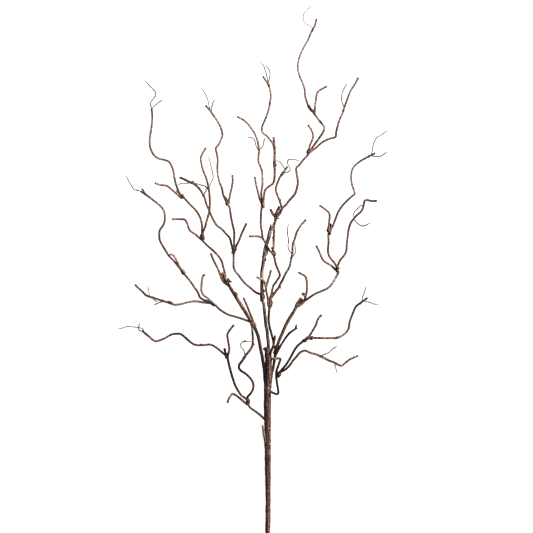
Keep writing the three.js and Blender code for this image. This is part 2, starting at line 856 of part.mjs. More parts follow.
function solidOf(geometry) {
  geometry.deleteAttribute('normal');
  geometry.deleteAttribute('uv');
  const merged = mergeVertices(geometry);
  const corners = merged.index.array;
  const triVerts = [];
  for (let i = 0; i < corners.length; i += 3) {
    const [a, b, c] = corners.slice(i, i + 3);
    if (a !== b && b !== c && c !== a) triVerts.push(a, b, c);
  }
  const mesh = new wasm.Mesh({
    numProp: 3,
    vertProperties: new Float32Array(merged.attributes.position.array),
    triVerts: new Uint32Array(triVerts),
  });
  return new wasm.Manifold(mesh);
}

// A closed rod of varying girth, turned on the lathe and then bent along its route. Slack makes it
// that much bigger all round and at both ends.
function rod(route, { girths = [twigRadius], sides = twigSides, pace = twigPace, lump = 0 }, slack) {
  const steps = Math.max(2, Math.round(route.getLength() / pace));
  const frames = route.computeFrenetFrames(steps, false);
  const outline = [new THREE.Vector2(0, 0)];
  for (let i = 0; i <= steps; i += 1) {
    outline.push(new THREE.Vector2(along(girths, i / steps) + slack, i));
  }
  outline.push(new THREE.Vector2(0, steps));
  const geometry = new THREE.LatheGeometry(outline, sides);
  const corners = geometry.attributes.position;
  for (let k = 0; k < corners.count; k += 1) {
    const station = Math.round(corners.getY(k));
    const across = corners.getX(k);
    const up = corners.getZ(k);
    const swell = 1 + lump * Math.sin(lumpsAround * Math.atan2(up, across) + lumpTurn * station);
    const place = route.getPointAt(station / steps);
    place.addScaledVector(frames.binormals[station], across * swell);
    place.addScaledVector(frames.normals[station], up * swell);
    if (station === 0) place.addScaledVector(frames.tangents[0], -slack);
    if (station === steps) place.addScaledVector(frames.tangents[steps], slack);
    corners.setXYZ(k, place.x, place.y, place.z);
  }
  return solidOf(geometry);
}

// The point on any of the routes nearest to [x, y] as seen from above, and the way the route runs.
function nearest(routes, [x, y]) {
  let best = { away: Infinity };
  for (const route of routes) {
    for (let i = 0; i <= nearSamples; i += 1) {
      const point = route.getPoint(i / nearSamples);
      const away = Math.hypot(point.x - x, point.y - y);
      if (away < best.away) best = { away, point, way: route.getTangent(i / nearSamples) };
    }
  }
  return best;
}

// A lump of tape wound round a limb at the place given.
function binding(routes, lump, slack) {
  const { at, length, width, height, shape = bindingShape, sides = bindingSides } = lump;
  const { point, way } = nearest(routes, at);
  const middle = new THREE.Vector3(at[0], at[1], height ?? point.z);
  const start = middle.clone().addScaledVector(way, -length / 2);
  const end = middle.clone().addScaledVector(way, length / 2);
  const girths = shape.map((share) => (share * width) / 2);
  const style = { girths, sides, pace: length / (shape.length - 1), lump: bindingLump };
  return rod(new THREE.LineCurve3(start, end), style, slack);
}

// A hair-thin shoot, rooted in the middle of the nearest limb.
function wisp(routes, { path, rise }, slack) {
  const root = nearest(routes, path[0]).point;
  const shape = { path: [[root.x, root.y], ...path.slice(1)], lift: [root.z, root.z + rise] };
  const style = { girths: [wispRadius], sides: wispSides, pace: wispPace };
  return rod(routeOf(shape, wispRadius), style, slack);
}

function grow({ limbs, bindings = [], wisps = [], knots = [] }, slack) {
  const routes = limbs.map((limb) => routeOf(limb, twigRadius - pressed));
  const pieces = limbs.map((limb, i) => rod(routes[i], limb, slack));
  for (const lump of bindings) pieces.push(binding(routes, lump, slack));
  for (const shoot of wisps) pieces.push(wisp(routes, shoot, slack));
  const knot = { length: knotLength, width: knotWidth, shape: knotShape, sides: knotSides };
  for (const at of knots) pieces.push(binding(routes, { at, ...knot }, slack));
  return pieces.reduce((whole, piece) => whole.add(piece));
}

function floorSlab() {
  const slab = new THREE.BoxGeometry(floorSize, floorSize, floorDepth);
  slab.translate(0, 0, -floorDepth / 2);
  return solidOf(slab);
}

// Where a cut leaves crumbs, only the branch itself is kept.
function largest(solid) {
  const pieces = solid.decompose();
  pieces.sort((one, other) => other.volume() - one.volume());
  return pieces[0];
}

function meshOf(name, solid, finish) {
  const { vertProperties, triVerts } = solid.getMesh();
  const geometry = new THREE.BufferGeometry();
  geometry.setAttribute('position', new THREE.BufferAttribute(vertProperties, 3));
  geometry.setIndex(new THREE.BufferAttribute(triVerts, 1));
  const mesh = new THREE.Mesh(geometry, new THREE.MeshStandardMaterial(finish));
  mesh.name = name;
  return mesh;
}

const willow = new THREE.Group();
const slab = floorSlab();
for (const [name, { form, holds }] of Object.entries(sprays)) {
  let solid = grow(form, 0).subtract(slab);
  for (const held of holds) solid = solid.subtract(grow(sprays[held].form, gap));
  willow.add(meshOf(name, largest(solid), form.finish));
}

// The origin is on the surface, under the middle of the whole branch.
const reach = new THREE.Box3().setFromObject(willow);
const middle = reach.getCenter(new THREE.Vector3());
willow.position.set(-middle.x, -middle.y, 0);

export default willow;
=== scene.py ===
import math

import bpy
import numpy as np
from mathutils.kdtree import KDTree
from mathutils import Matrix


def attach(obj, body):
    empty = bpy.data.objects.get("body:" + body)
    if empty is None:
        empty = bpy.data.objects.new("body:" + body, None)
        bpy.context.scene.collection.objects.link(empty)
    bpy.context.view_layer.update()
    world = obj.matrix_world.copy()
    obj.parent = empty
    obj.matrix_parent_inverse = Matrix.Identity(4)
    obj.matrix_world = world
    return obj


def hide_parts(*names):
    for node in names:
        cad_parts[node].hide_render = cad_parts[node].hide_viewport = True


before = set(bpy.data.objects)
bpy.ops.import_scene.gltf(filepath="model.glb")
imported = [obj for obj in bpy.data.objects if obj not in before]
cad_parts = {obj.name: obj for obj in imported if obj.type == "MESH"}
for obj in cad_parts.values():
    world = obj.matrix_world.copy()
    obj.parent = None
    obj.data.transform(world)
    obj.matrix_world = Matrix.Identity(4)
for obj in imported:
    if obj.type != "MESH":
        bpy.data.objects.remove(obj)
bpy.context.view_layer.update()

# The branch is laid out in millimetres of its own: x to the right, y from the cut butt to the tips
# and z up from the surface it lies on.
layout = {
    "shift": (27.381, -468.886, 0),  # the branch's own zero, seen from the frame's origin
    "heart": (0, 330),  # where the boughs leave the stem
    "reach": 600,  # mm from there to the farthest tips
    "lowestMiddle": 1.2,  # limbs that touch the surface are pressed a little flat
    "lowestWisp": 0.7,
    "seed": 11,
}

fineness = {  # steps are in mm, the others are counts
    "limbCurve": 16, "lobeCurve": 8,
    "collarStep": 0.7, "sleeveStep": 0.8, "lobeStep": 0.7, "knobStep": 0.6,
    "collarSides": 20, "limbSides": 24, "lobeSides": 16, "sleeveSides": 14, "knobSides": 10,
    "bandTurns": 28, "bandSides": 8,
    "girthEvery": 6,  # steps of a twig between its girths
}


class Wire:  # one socket of a shader tree, so that shader maths reads as plain expressions
    def __init__(self, shade, socket):
        self.shade = shade
        self.socket = socket

    def __add__(self, other):
        return self.shade.math("ADD", self, other)

    def __radd__(self, other):
        return self.shade.math("ADD", other, self)

    def __sub__(self, other):
        return self.shade.math("SUBTRACT", self, other)

    def __rsub__(self, other):
        return self.shade.math("SUBTRACT", other, self)

    def __mul__(self, other):
        return self.shade.math("MULTIPLY", self, other)

    def __rmul__(self, other):
        return self.shade.math("MULTIPLY", other, self)


class Shade:  # one material's tree while it is put together
    def __init__(self, name):
        self.material = bpy.data.materials.new(name)
        self.material.use_nodes = True
        self.tree = self.material.node_tree
        self.tree.nodes.clear()

    def node(self, kind, settings=None, values=None, output=0):
        made = self.tree.nodes.new(kind)
        for name, setting in (settings or {}).items():
            if name == "stops":
                ramp = made.color_ramp.elements
                while len(ramp) < len(setting):
                    ramp.new(0.5)
                for stop, (place, colour) in zip(ramp, setting):
                    stop.position = place
                    stop.color = (*colour, 1)
            else:
                setattr(made, name, setting)
        for key, value in (values or {}).items():
            if isinstance(value, Wire):
                self.tree.links.new(value.socket, made.inputs[key])
            else:
                made.inputs[key].default_value = value
        return Wire(self, made.outputs[output]) if made.outputs else None

    def math(self, operation, first, second):
        return self.node("ShaderNodeMath", {"operation": operation}, {0: first, 1: second})

    def painted(self, name, output):  # a value that is stored on the mesh
        return self.node("ShaderNodeAttribute", {"attribute_name": name}, None, output)

    def ramp(self, stops, place):
        return self.node("ShaderNodeValToRGB", {"stops": stops}, {0: place})

    def noise(self, place, stretch, detail, roughness):
        stretched = self.node("ShaderNodeVectorMath", {"operation": "MULTIPLY"}, {0: place, 1: stretch})
        values = {"Vector": stretched, "Scale": 1, "Detail": detail, "Roughness": roughness}
        return self.node("ShaderNodeTexNoise", None, values)

    def finish(self, surface):
        self.node("ShaderNodeOutputMaterial", None, {0: surface})
        return self.material


barkLook = {
    "stops": [
        (0.0, (0.012, 0.006, 0.004)),
        (0.28, (0.050, 0.022, 0.014)),
        (0.52, (0.125, 0.057, 0.037)),
        (0.74, (0.240, 0.122, 0.080)),
        (1.0, (0.450, 0.285, 0.190)),
    ],
    "fibres": (1700, 1700, 130), "fibreMark": 0.5,
    "patches": (160, 160, 75), "patchMark": 0.5,
    "creaseShadeStrength": 0.45,
    "roughness": 0.78,
    "relief": 0.00022,
}

tapeLook = {
    "stops": [
        (0.0, (0.006, 0.004, 0.004)),
        (0.30, (0.026, 0.013, 0.010)),
        (0.56, (0.085, 0.041, 0.029)),
        (0.80, (0.215, 0.115, 0.080)),
        (1.0, (0.430, 0.290, 0.210)),
    ],
    "fibres": (900, 900, 260), "fibreMark": 0.5,
    "patches": (260, 260, 220), "patchMark": 0.5,
    "creaseShadeStrength": 0.85,
    "roughness": 0.66,
    "relief": 0.00035,
}

threadLook = {
    "stops": [
        (0.0, (0.022, 0.015, 0.012)),
        (0.35, (0.085, 0.055, 0.042)),
        (0.65, (0.200, 0.155, 0.130)),
        (1.0, (0.400, 0.350, 0.310)),
    ],
    "fibres": (1500, 1500, 200), "fibreMark": 0.4,
    "patches": (120, 120, 120), "patchMark": 0.6,
    "creaseShadeStrength": 0.3,
    "roughness": 0.7,
    "relief": 0.0001,
}

nap = {  # shared by paper, tape and thread
    "fibreGloss": 0.3,
    "foldGloss": 0.2,
    "fibreHeight": 0.6,
    "patchHeight": 0.4,
    "strength": 0.7,
    "specular": 0.2,
}


def wrappedMaterial(name, look):  # paper or tape wound on wire, from what the mesh stores
    shade = Shade(name)
    grain = shade.painted("grain", "Vector")
    tone = shade.painted("tone", "Fac")
    fold = shade.painted("fold", "Fac")
    ash = shade.painted("ash", "Fac")
    fibres = shade.noise(grain, look["fibres"], detail=4, roughness=0.62)
    patches = shade.noise(grain, look["patches"], detail=2, roughness=0.5)
    toneAndCreaseShade = tone + (fibres - 0.5) * look["fibreMark"] + (patches - 0.5) * look["patchMark"]
    # painted crease shade: darker where the surface sinks, lighter where it stands out
    toneAndCreaseShade = toneAndCreaseShade + (fold - 0.5) * look["creaseShadeStrength"]
    brown = shade.ramp(look["stops"], toneAndCreaseShade)
    grey = shade.node("ShaderNodeRGBToBW", None, {0: brown})
    colour = shade.node("ShaderNodeMix", {"data_type": "RGBA"}, {0: ash, 6: brown, 7: grey}, 2)
    roughness = look["roughness"] + (0.5 - fibres) * nap["fibreGloss"] + (0.5 - fold) * nap["foldGloss"]
    height = fibres * nap["fibreHeight"] + patches * nap["patchHeight"]
    relief = {"Strength": nap["strength"], "Distance": look["relief"], "Height": height}
    normal = shade.node("ShaderNodeBump", None, relief)
    surface = {"Base Color": colour, "Roughness": roughness, "Normal": normal}
    surface["Specular IOR Level"] = nap["specular"]
    return shade.finish(shade.node("ShaderNodeBsdfPrincipled", None, surface))


wireLook = {
    "stops": [(0.3, (0.20, 0.20, 0.21)), (0.7, (0.46, 0.46, 0.47))],
    "lines": (2600, 90, 2600),  # drawn along the wire
    "metallic": 0.95,
    "roughness": 0.28, "lineRoughness": 0.3,
    "relief": {"Strength": 0.3, "Distance": 0.00005},
}


def wireMaterial(look):
    shade = Shade("drawnWire")
    place = shade.node("ShaderNodeTexCoord", None, None, "Object")
    lines = shade.noise(place, look["lines"], detail=3, roughness=0.55)
    colour = shade.ramp(look["stops"], lines)
    normal = shade.node("ShaderNodeBump", None, {**look["relief"], "Height": lines})
    surface = {"Base Color": colour, "Metallic": look["metallic"], "Normal": normal}
    surface["Roughness"] = look["roughness"] + lines * look["lineRoughness"]
    return shade.finish(shade.node("ShaderNodeBsdfPrincipled", None, surface))


bark = wrappedMaterial("windingPaper", barkLook)
tape = wrappedMaterial("bindingTape", tapeLook)
thread = wrappedMaterial("wispThread", threadLook)
steel = wireMaterial(wireLook)
print("materials ready")


def bend(start, end, leave, arrive, share):  # a cubic from start to end with those slopes
    cubic = 2 * start - 2 * end + leave + arrive
    square = -3 * start + 3 * end - 2 * leave - arrive
    return ((cubic * share + square) * share + leave) * share + start


def spread(entries, share):  # values along a short list, on a smooth curve through its entries
    entries = np.array(entries, float)
    last = len(entries) - 1
    place = np.clip(np.asarray(share, float), 0, 1) * last
    low = np.floor(place).astype(int)
    before, start, end, after = (entries[np.clip(low + k, 0, last)] for k in (-1, 0, 1, 2))
    return bend(start, end, (end - before) / 2, (after - start) / 2, place - low)


def smoothLine(places, perStretch):  # a centripetal curve through the places
    ahead = 2 * places[0] - places[1]
    beyond = 2 * places[-1] - places[-2]
    knots = np.vstack([ahead, places, beyond])
    share = np.linspace(0, 1, perStretch, endpoint=False)[:, None]
    stretches = []
    for a, b, c, d in zip(knots, knots[1:], knots[2:], knots[3:]):
        first, middle, last = (np.sqrt(np.linalg.norm(q - p)) for p, q in ((a, b), (b, c), (c, d)))
        leave = ((b - a) / first - (c - a) / (first + middle) + (c - b) / middle) * middle
        arrive = ((c - b) / middle - (d - b) / (middle + last) + (d - c) / last) * middle
        stretches.append(bend(b, c, leave, arrive, share))
    return np.vstack([*stretches, places[-1:]])


apart = {  # keeps the noises of a piece and of its neighbours from being the same
    "wander": 3, "creases": 5, "flutes": 7, "tone": 9,  # steps of the seed
    "limbs": 7, "wisps": 400,
    "rods": 17.3, "skins": 23.1, "lines": 31.7, "slow": 5.1,  # mm for each step
}

winding = {  # how the noises of a wound surface hang together
    "rodDraw": (0.4, 0.4, 1),
    "rodWander": 1.7, "skinWander": 0.9,  # shares of the pitch
    "creaseSize": 0.45,  # share of the lumps' size
    "fluteDraw": 0.15,
    "cordWander": 0.5,
    "lapCreaseShade": 0.7, "lumpCreaseShade": 0.3,
}


def softNoise(points, size, seed):  # smooth noise from -1 to 1, with features of that size in mm
    primes = np.array([73856093, 19349663, 83492791])
    spot = points / size + 40.5
    cell = np.floor(spot).astype(np.int64)
    part = spot - cell
    part = part * part * (3 - 2 * part)
    total = np.zeros(len(points))
    for corner in range(8):
        step = np.array([corner & 1, corner >> 1 & 1, corner >> 2 & 1])
        key = (cell + step) @ primes + seed * 7919
        key = (key ^ key >> 13) * 1274126177 & 0x7fffffff
        value = (key >> 8 & 0xffff) / 32767.5 - 1
        total += np.where(step, part, 1 - part).prod(axis=1) * value
    return total


def unit(vectors):
    return vectors / np.maximum(np.linalg.norm(vectors, axis=-1, keepdims=True), 1e-9)


class Route:  # a limb's middle line in even steps, with the directions across and up at each
    def __init__(self, points, step, tone=0.5, ash=0):
        self.tone = tone
        self.ash = ash
        reached = np.r_[0, np.cumsum(np.linalg.norm(np.diff(points, axis=0), axis=1))]
        self.length = reached[-1]
        self.spots = np.linspace(0, self.length, max(3, round(self.length / step) + 1))
        self.points = np.stack([np.interp(self.spots, reached, points[:, k]) for k in range(3)], 1)
        self.ways = unit(np.gradient(self.points, axis=0))
        self.across = unit(np.cross(self.ways, (0, 0, 1)))
        self.ups = np.cross(self.across, self.ways)

    def along(self, entries, spots):  # one number, or a few from root to tip, at those spots
        return spread(np.atleast_1d(entries), spots / self.length)


def limbRoute(path, lift, step, lowest=layout["lowestMiddle"]):  # from a course and its heights
    flat = np.array(path, float)
    reached = np.r_[0, np.cumsum(np.linalg.norm(np.diff(flat, axis=0), axis=1))]
    heights = np.maximum(spread(lift, reached / reached[-1]), lowest)
    return Route(smoothLine(np.column_stack([flat, heights]), fineness["limbCurve"]), step)


def farAway(entries, points):  # a value that changes with the distance from the stem's top
    away = np.linalg.norm(points[:, :2] - np.array(layout["heart"]), axis=1)
    return spread(entries, away / layout["reach"])


def nearestSpot(routes, place):  # the route that passes nearest in plan, and the step of it
    best = None
    for route in routes:
        away = np.hypot(*(route.points[:, :2] - np.array(place)).T)
        k = int(away.argmin())
        if best is None or away[k] < best[0]:
            best = (away[k], route, k)
    return best[1], best[2]


class Shell:  # the growing mesh of one piece, in the branch's own millimetres
    def __init__(self):
        self.points = []
        self.quads = []
        self.fans = []
        self.painted = {"grain": [], "tone": [], "fold": [], "ash": []}
        self.count = 0
        self.lines = []

    def add(self, points, quads, fans, *painted):  # painted: grain, tone, crease shade and ash
        self.points.append(points)
        self.quads.append(quads + self.count)
        self.fans.append(fans + self.count)
        for kept, values in zip(self.painted.values(), painted):
            kept.append(values)
        self.count += len(points)

    def faces(self):
        return np.vstack(self.quads).tolist() + np.vstack(self.fans).tolist()


noFans = np.empty((0, 3), int)


def lapped(turns, edge):  # from 0 to 1 on each turn, with a quick drop at its edge
    part = turns % 1
    return np.where(part < 1 - edge, part / (1 - edge), (1 - part) / edge)


cutEnd = {"bulge": 0.35, "tip": 0.5, "girth": 0.72, "soaked": 1.3}  # mm, apart from the girth's share


def rod(shell, route, girths, sides, wrap, seed):
    # a closed rod along a route, with its winding and lumps raised from the surface
    bulge = cutEnd["bulge"]
    start, end = route.points[0], route.points[-1]
    away, onward = -route.ways[0], route.ways[-1]
    spots = np.r_[-bulge, route.spots, route.length + bulge]
    girth = spread(girths, route.spots / route.length)
    girth = np.r_[girth[0] * cutEnd["girth"], girth, girth[-1] * cutEnd["girth"]]
    angles = np.arange(sides) * 2 * math.pi / sides
    middles = np.vstack([start + bulge * away, route.points, end + bulge * onward])
    across = np.vstack([route.across[:1], route.across, route.across[-1:]])
    ups = np.vstack([route.ups[:1], route.ups, route.ups[-1:]])
    rings = len(spots)
    turn = np.cos(angles)[None, :, None] * across[:, None] + np.sin(angles)[None, :, None] * ups[:, None]
    grain = np.empty((rings, sides, 3))
    grain[..., 0] = girth[:, None] * np.cos(angles)
    grain[..., 1] = girth[:, None] * np.sin(angles)
    grain[..., 2] = spots[:, None] + seed * apart["rods"]
    flat = grain.reshape(-1, 3)
    lumps = softNoise(flat, wrap["lumpSize"], seed).reshape(rings, sides)
    drawn = flat * winding["rodDraw"]
    wander = softNoise(drawn, wrap["pitch"] * winding["rodWander"], seed + apart["wander"])
    turns = spots[:, None] / wrap["pitch"] + angles / (2 * math.pi) * wrap["turn"]
    lap = lapped(turns + wander.reshape(rings, sides) * wrap["wander"], wrap["edge"])
    relief = wrap["step"] * (lap - 0.5) + wrap["lumps"] * lumps
    points = middles[:, None] + (girth[:, None] + relief)[..., None] * turn
    caps = [start + cutEnd["tip"] * away, end + cutEnd["tip"] * onward]
    points = np.vstack([points.reshape(-1, 3), *caps])
    ring = np.arange(sides)
    after = (ring + 1) % sides
    low = (np.arange(rings - 1) * sides)[:, None]
    quads = np.stack([low + ring, low + sides + ring, low + sides + after, low + after], -1)
    first = np.full(sides, rings * sides)
    last = (rings - 1) * sides
    fans = np.vstack([
        np.column_stack([first, ring, after]),
        np.column_stack([first + 1, last + after, last + ring]),
    ])
    slow = np.column_stack([spots, spots * 0, spots * 0]) + seed * apart["slow"]
    slow = softNoise(slow, wrap["toneSize"], seed + apart["tone"])
    tone = route.along(route.tone, spots) + wrap["toneSpread"] * slow
    if "tones" in wrap:
        tone = tone + farAway(wrap["tones"], middles)
    tone = tone - wrap["cutDark"] * np.exp(-(route.length - spots) / cutEnd["soaked"])
    tone, ash = (np.r_[np.repeat(v, sides), v[0], v[-1]] for v in (tone, route.along(route.ash, spots)))
    grain = np.vstack([flat, flat[:1], flat[-1:]])
    # painted crease shade: where the tape's laps and lumps sink the colour is darker, where they stand out
    # lighter
    creaseShades = 0.5 + (lap - 0.5) * winding["lapCreaseShade"] + lumps * winding["lumpCreaseShade"]
    shell.add(points, quads.reshape(-1, 4), fans, grain, tone, np.r_[creaseShades.ravel(), 0.5, 0.5], ash)


plainWrap = {
    "lumpSize": 6, "pitch": 9, "turn": 1, "edge": 0.3, "step": 0, "lumps": 0, "wander": 0, "toneSize": 20,
    "toneSpread": 0, "cutDark": 0,
}


def spindle(shell, line, girths, sides, leads=True):  # a plain swelling, to be fused with others
    rod(shell, line, girths, sides, plainWrap, 1)
    if leads:
        shell.lines.append(line)


def band(shell, line, spot, reach, lean, width, thick):  # one turn of tape round a swelling
    k = int(np.clip(spot * (len(line.points) - 1), 0, len(line.points) - 1))
    turns = fineness["bandTurns"]
    sides = fineness["bandSides"]
    angles = np.arange(turns) * 2 * math.pi / turns
    tilted = unit(line.ways[k] + lean[0] * line.across[k] + lean[1] * line.ups[k])
    across = unit(np.cross(tilted, line.ups[k]))
    ups = np.cross(across, tilted)
    outward = np.cos(angles)[:, None] * across + np.sin(angles)[:, None] * ups
    section = np.arange(sides) * 2 * math.pi / sides
    out = (reach + thick * np.cos(section))[None, :, None] * outward[:, None]
    along = (width * np.sin(section))[None, :, None] * tilted
    points = (line.points[k] + out + along).reshape(-1, 3)
    ring = np.arange(sides)
    start = (np.arange(turns) * sides)[:, None]
    after = (start + sides) % (turns * sides)
    step = (ring + 1) % sides
    quads = np.stack([start + ring, start + step, after + step, after + ring], -1).reshape(-1, 4)
    blank = np.zeros(len(points))
    shell.add(points, quads, noFans, np.zeros((len(points), 3)), blank, blank, blank)


def normalsOf(points, quads):
    faces = np.cross(points[quads[:, 2]] - points[quads[:, 0]], points[quads[:, 3]] - points[quads[:, 1]])
    sums = np.zeros_like(points)
    for corner in range(4):
        for axis in range(3):
            sums[:, axis] += np.bincount(quads[:, corner], faces[:, axis], len(points))
    return unit(sums)


def ridges(points, quads, rounds):  # how far each point stands out of its smoothed neighbourhood
    one = quads.ravel()
    two = np.roll(quads, -1, axis=1).ravel()
    count = np.bincount(one, minlength=len(points))[:, None]
    soft = points.copy()
    for _ in range(rounds):
        soft = np.stack([np.bincount(one, soft[two, axis], len(points)) for axis in range(3)], 1) / count
    return ((points - soft) * normalsOf(points, quads)).sum(axis=1)


def fused(shell, voxel, rounds):  # the shell's parts as one closed skin
    mesh = bpy.data.meshes.new("shaping")
    mesh.from_pydata(np.vstack(shell.points).tolist(), [], shell.faces())
    piece = bpy.data.objects.new("shaping", mesh)
    bpy.context.scene.collection.objects.link(piece)
    join = piece.modifiers.new("join", "REMESH")
    join.mode = "VOXEL"
    join.voxel_size = voxel
    soften = piece.modifiers.new("soften", "SMOOTH")
    soften.factor = 0.5
    soften.iterations = rounds
    made = bpy.data.meshes.new_from_object(piece.evaluated_get(bpy.context.evaluated_depsgraph_get()))
    points = np.empty(len(made.vertices) * 3)
    made.vertices.foreach_get("co", points)
    quads = np.empty(len(made.loops), int)
    made.loops.foreach_get("vertex_index", quads)
    bpy.data.objects.remove(piece)
    bpy.data.meshes.remove(mesh)
    bpy.data.meshes.remove(made)
    return points.reshape(-1, 3), quads.reshape(-1, 4)


def wound(shell, wrap, seed):  # a fused skin with its turns of tape and their colour, painted shade and painted light included
    points, quads = fused(shell, wrap["voxel"], wrap["soften"])
    lines = shell.lines
    stacked = {
        "middles": [route.points for route in lines],
        "across": [route.across for route in lines],
        "ups": [route.ups for route in lines],
        "ways": [route.ways for route in lines],
        "spots": [route.spots + apart["lines"] * n for n, route in enumerate(lines)],
        "tones": [route.along(route.tone, route.spots) for route in lines],
        "ash": [route.along(route.ash, route.spots) for route in lines],
    }
    stacked = {name: np.concatenate(values) for name, values in stacked.items()}
    tree = KDTree(len(stacked["middles"]))
    for place, middle in enumerate(stacked["middles"]):
        tree.insert(middle, place)
    tree.balance()
    owner = np.array([tree.find(point)[1] for point in points])
    middles, across, ups, ways, spots, tones, ash = (values[owner] for values in stacked.values())
    away = points - middles
    right = (away * across).sum(axis=1)
    up = (away * ups).sum(axis=1)
    spots = spots + (away * ways).sum(axis=1)
    grain = np.column_stack([right, up, spots + seed * apart["skins"]])
    angle = np.arctan2(up, right)
    wander = softNoise(points, wrap["pitch"] * winding["skinWander"], seed + apart["wander"])
    turns = spots / wrap["pitch"] + angle / (2 * math.pi) * wrap["turn"] + wander * wrap["wander"]
    lap = lapped(turns, wrap["edge"])
    lumps = softNoise(points, wrap["lumpSize"], seed)
    creases = softNoise(points, wrap["lumpSize"] * winding["creaseSize"], seed + apart["creases"])
    strands = spots / wrap["twist"] + wander * winding["cordWander"]
    cord = np.cos(2 * math.pi * strands + angle * wrap["starts"])
    drawn = np.column_stack([right, up, spots * winding["fluteDraw"]])
    flutes = softNoise(drawn, wrap["fluteSize"], seed + apart["flutes"])
    relief = wrap["step"] * (lap - 0.5) + wrap["lumps"] * lumps + wrap["flutes"] * flutes
    relief = relief + wrap["creases"] * creases + wrap["cord"] * cord
    points = points + relief[:, None] * normalsOf(points, quads)
    # painted crease shade: points that sink below their smoothed neighbourhood turn darker, those that stand
    # out lighter
    stand = ridges(points, quads, wrap["creaseShadeRounds"])
    stand = stand - np.median(stand)
    creaseShades = np.clip(0.5 + stand / wrap["creaseShadeReach"], 0, 1)
    drawn = np.column_stack([right, up, spots * wrap["toneDraw"]])
    tones = tones + wrap["toneSpread"] * softNoise(drawn, wrap["toneSize"], seed + apart["tone"])
    # painted light and shade: the side right of each course, seen from root to tip, turns lighter and the
    # left darker
    tones = tones + wrap["paintedSideLight"] * right / np.maximum(np.hypot(right, up), 1)
    done = Shell()
    done.add(points, quads, noFans, grain, tones, creaseShades, ash)
    return done


def paintStainsAndLight(shell, stainsAndLight):  # darkens, pales or greys a shell beside lines that are seen from above: stains, painted shade and painted light
    shell.points = [np.vstack(shell.points)]
    flat = shell.points[0][:, :2]
    for kind in ("tone", "ash"):
        shell.painted[kind] = [np.concatenate(shell.painted[kind])]
    for mark in stainsAndLight:
        away = np.full(len(flat), 1e9)
        lane = np.array([*mark["path"], mark["path"][-1]], float)
        for start, end in zip(lane, lane[1:]):
            run = end - start
            share = np.clip((flat - start) @ run / max(run @ run, 1e-9), 0, 1)
            away = np.minimum(away, np.linalg.norm(flat - start - share[:, None] * run, axis=1))
        share = np.exp(-(away / mark["width"]) ** 2)
        shell.painted["tone"][0] += share * mark["shade"]
        shell.painted["ash"][0] += share * mark.get("ash", 0)


def put(name, shell, material, node):  # turns a finished shell into a piece of the scene
    points = np.vstack(shell.points)
    points[:, 2] = np.maximum(points[:, 2], 0)
    mesh = bpy.data.meshes.new(name)
    mesh.from_pydata(((points + layout["shift"]) / 1000).tolist(), [], shell.faces())
    mesh.polygons.foreach_set("use_smooth", [True] * len(mesh.polygons))
    grain = mesh.attributes.new("grain", "FLOAT_VECTOR", "POINT")
    grain.data.foreach_set("vector", (np.vstack(shell.painted["grain"]) / 1000).ravel())
    for kind in ("tone", "fold", "ash"):
        values = mesh.attributes.new(kind, "FLOAT", "POINT")
        values.data.foreach_set("value", np.concatenate(shell.painted[kind]))
    mesh.materials.append(material)
    piece = bpy.data.objects.new(name, mesh)
    bpy.context.scene.collection.objects.link(piece)
    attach(piece, "root")
    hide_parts(node)


paperWrap = {
    "step": 0.14, "pitch": 7.5, "turn": 1, "edge": 0.14, "wander": 0.35, "lumps": 0.11, "lumpSize": 3.4,
    "toneSize": 24, "toneSpread": 0.17, "cutDark": 0.4, "sides": 14, "pace": 1.0, "stubShade": -0.25,
    "girths": [2.04, 1.94, 1.87, 1.8, 1.73],  # from the stem out to the farthest tips, as are the tones
    "tones": [0.31, 0.51, 0.59, 0.67, 0.75],
}

threadWrap = {
    "step": 0, "pitch": 6, "turn": 1, "edge": 0.2, "wander": 0.35, "lumps": 0.06, "lumpSize": 2,
    "toneSize": 6, "toneSpread": 0.2, "cutDark": 0, "sides": 6, "pace": 1.3, "tone": 0.52, "ash": 0.4,
    "girth": 0.86, "blotch": 0.25, "blotches": (-0.3, 1, 9), "tip": 0.6,
}

collarWrap = {
    "voxel": 0.34, "soften": 2, "twist": 2.4, "starts": 1, "step": 0.35, "pitch": 3.2, "turn": 1,
    "edge": 0.25, "wander": 0.6, "tone": 0.62, "ash": 0.25, "toneDraw": 1, "paintedSideLight": 0.05, "toneSize": 3.2,
    "toneSpread": 0.22, "cord": 0.1, "flutes": 0.1, "fluteSize": 1.6, "lumps": 0.35, "lumpSize": 2.6,
    "creases": 0.2, "creaseShadeRounds": 14, "creaseShadeReach": 0.8,
}

stemWrap = {
    "voxel": 0.5, "soften": 2, "twist": 3.6, "starts": 3, "step": 0.2, "pitch": 9.5, "turn": 1,
    "edge": 0.12, "wander": 0.5, "tone": 0.56, "ash": 0.2, "toneDraw": 0.12, "paintedSideLight": 0.06, "toneSize": 12,
    "toneSpread": 0.22, "cord": 0.04, "flutes": 0.45, "fluteSize": 2.2, "lumps": 0.35, "lumpSize": 6,
    "creases": 0.15, "creaseShadeRounds": 16, "creaseShadeReach": 0.7,
}

boughWrap = {
    "voxel": 0.42, "soften": 2, "twist": 2.4, "starts": -3, "step": 0.22, "pitch": 7, "turn": -1,
    "edge": 0.14, "wander": 0.5, "tone": 0.56, "ash": 0.2, "toneDraw": 0.3, "paintedSideLight": 0.12, "toneSize": 9,
    "toneSpread": 0.22, "cord": 0.08, "flutes": 0.16, "fluteSize": 1.6, "lumps": 0.25, "lumpSize": 4.5,
    "creases": 0.13, "creaseShadeRounds": 14, "creaseShadeReach": 0.6,
}

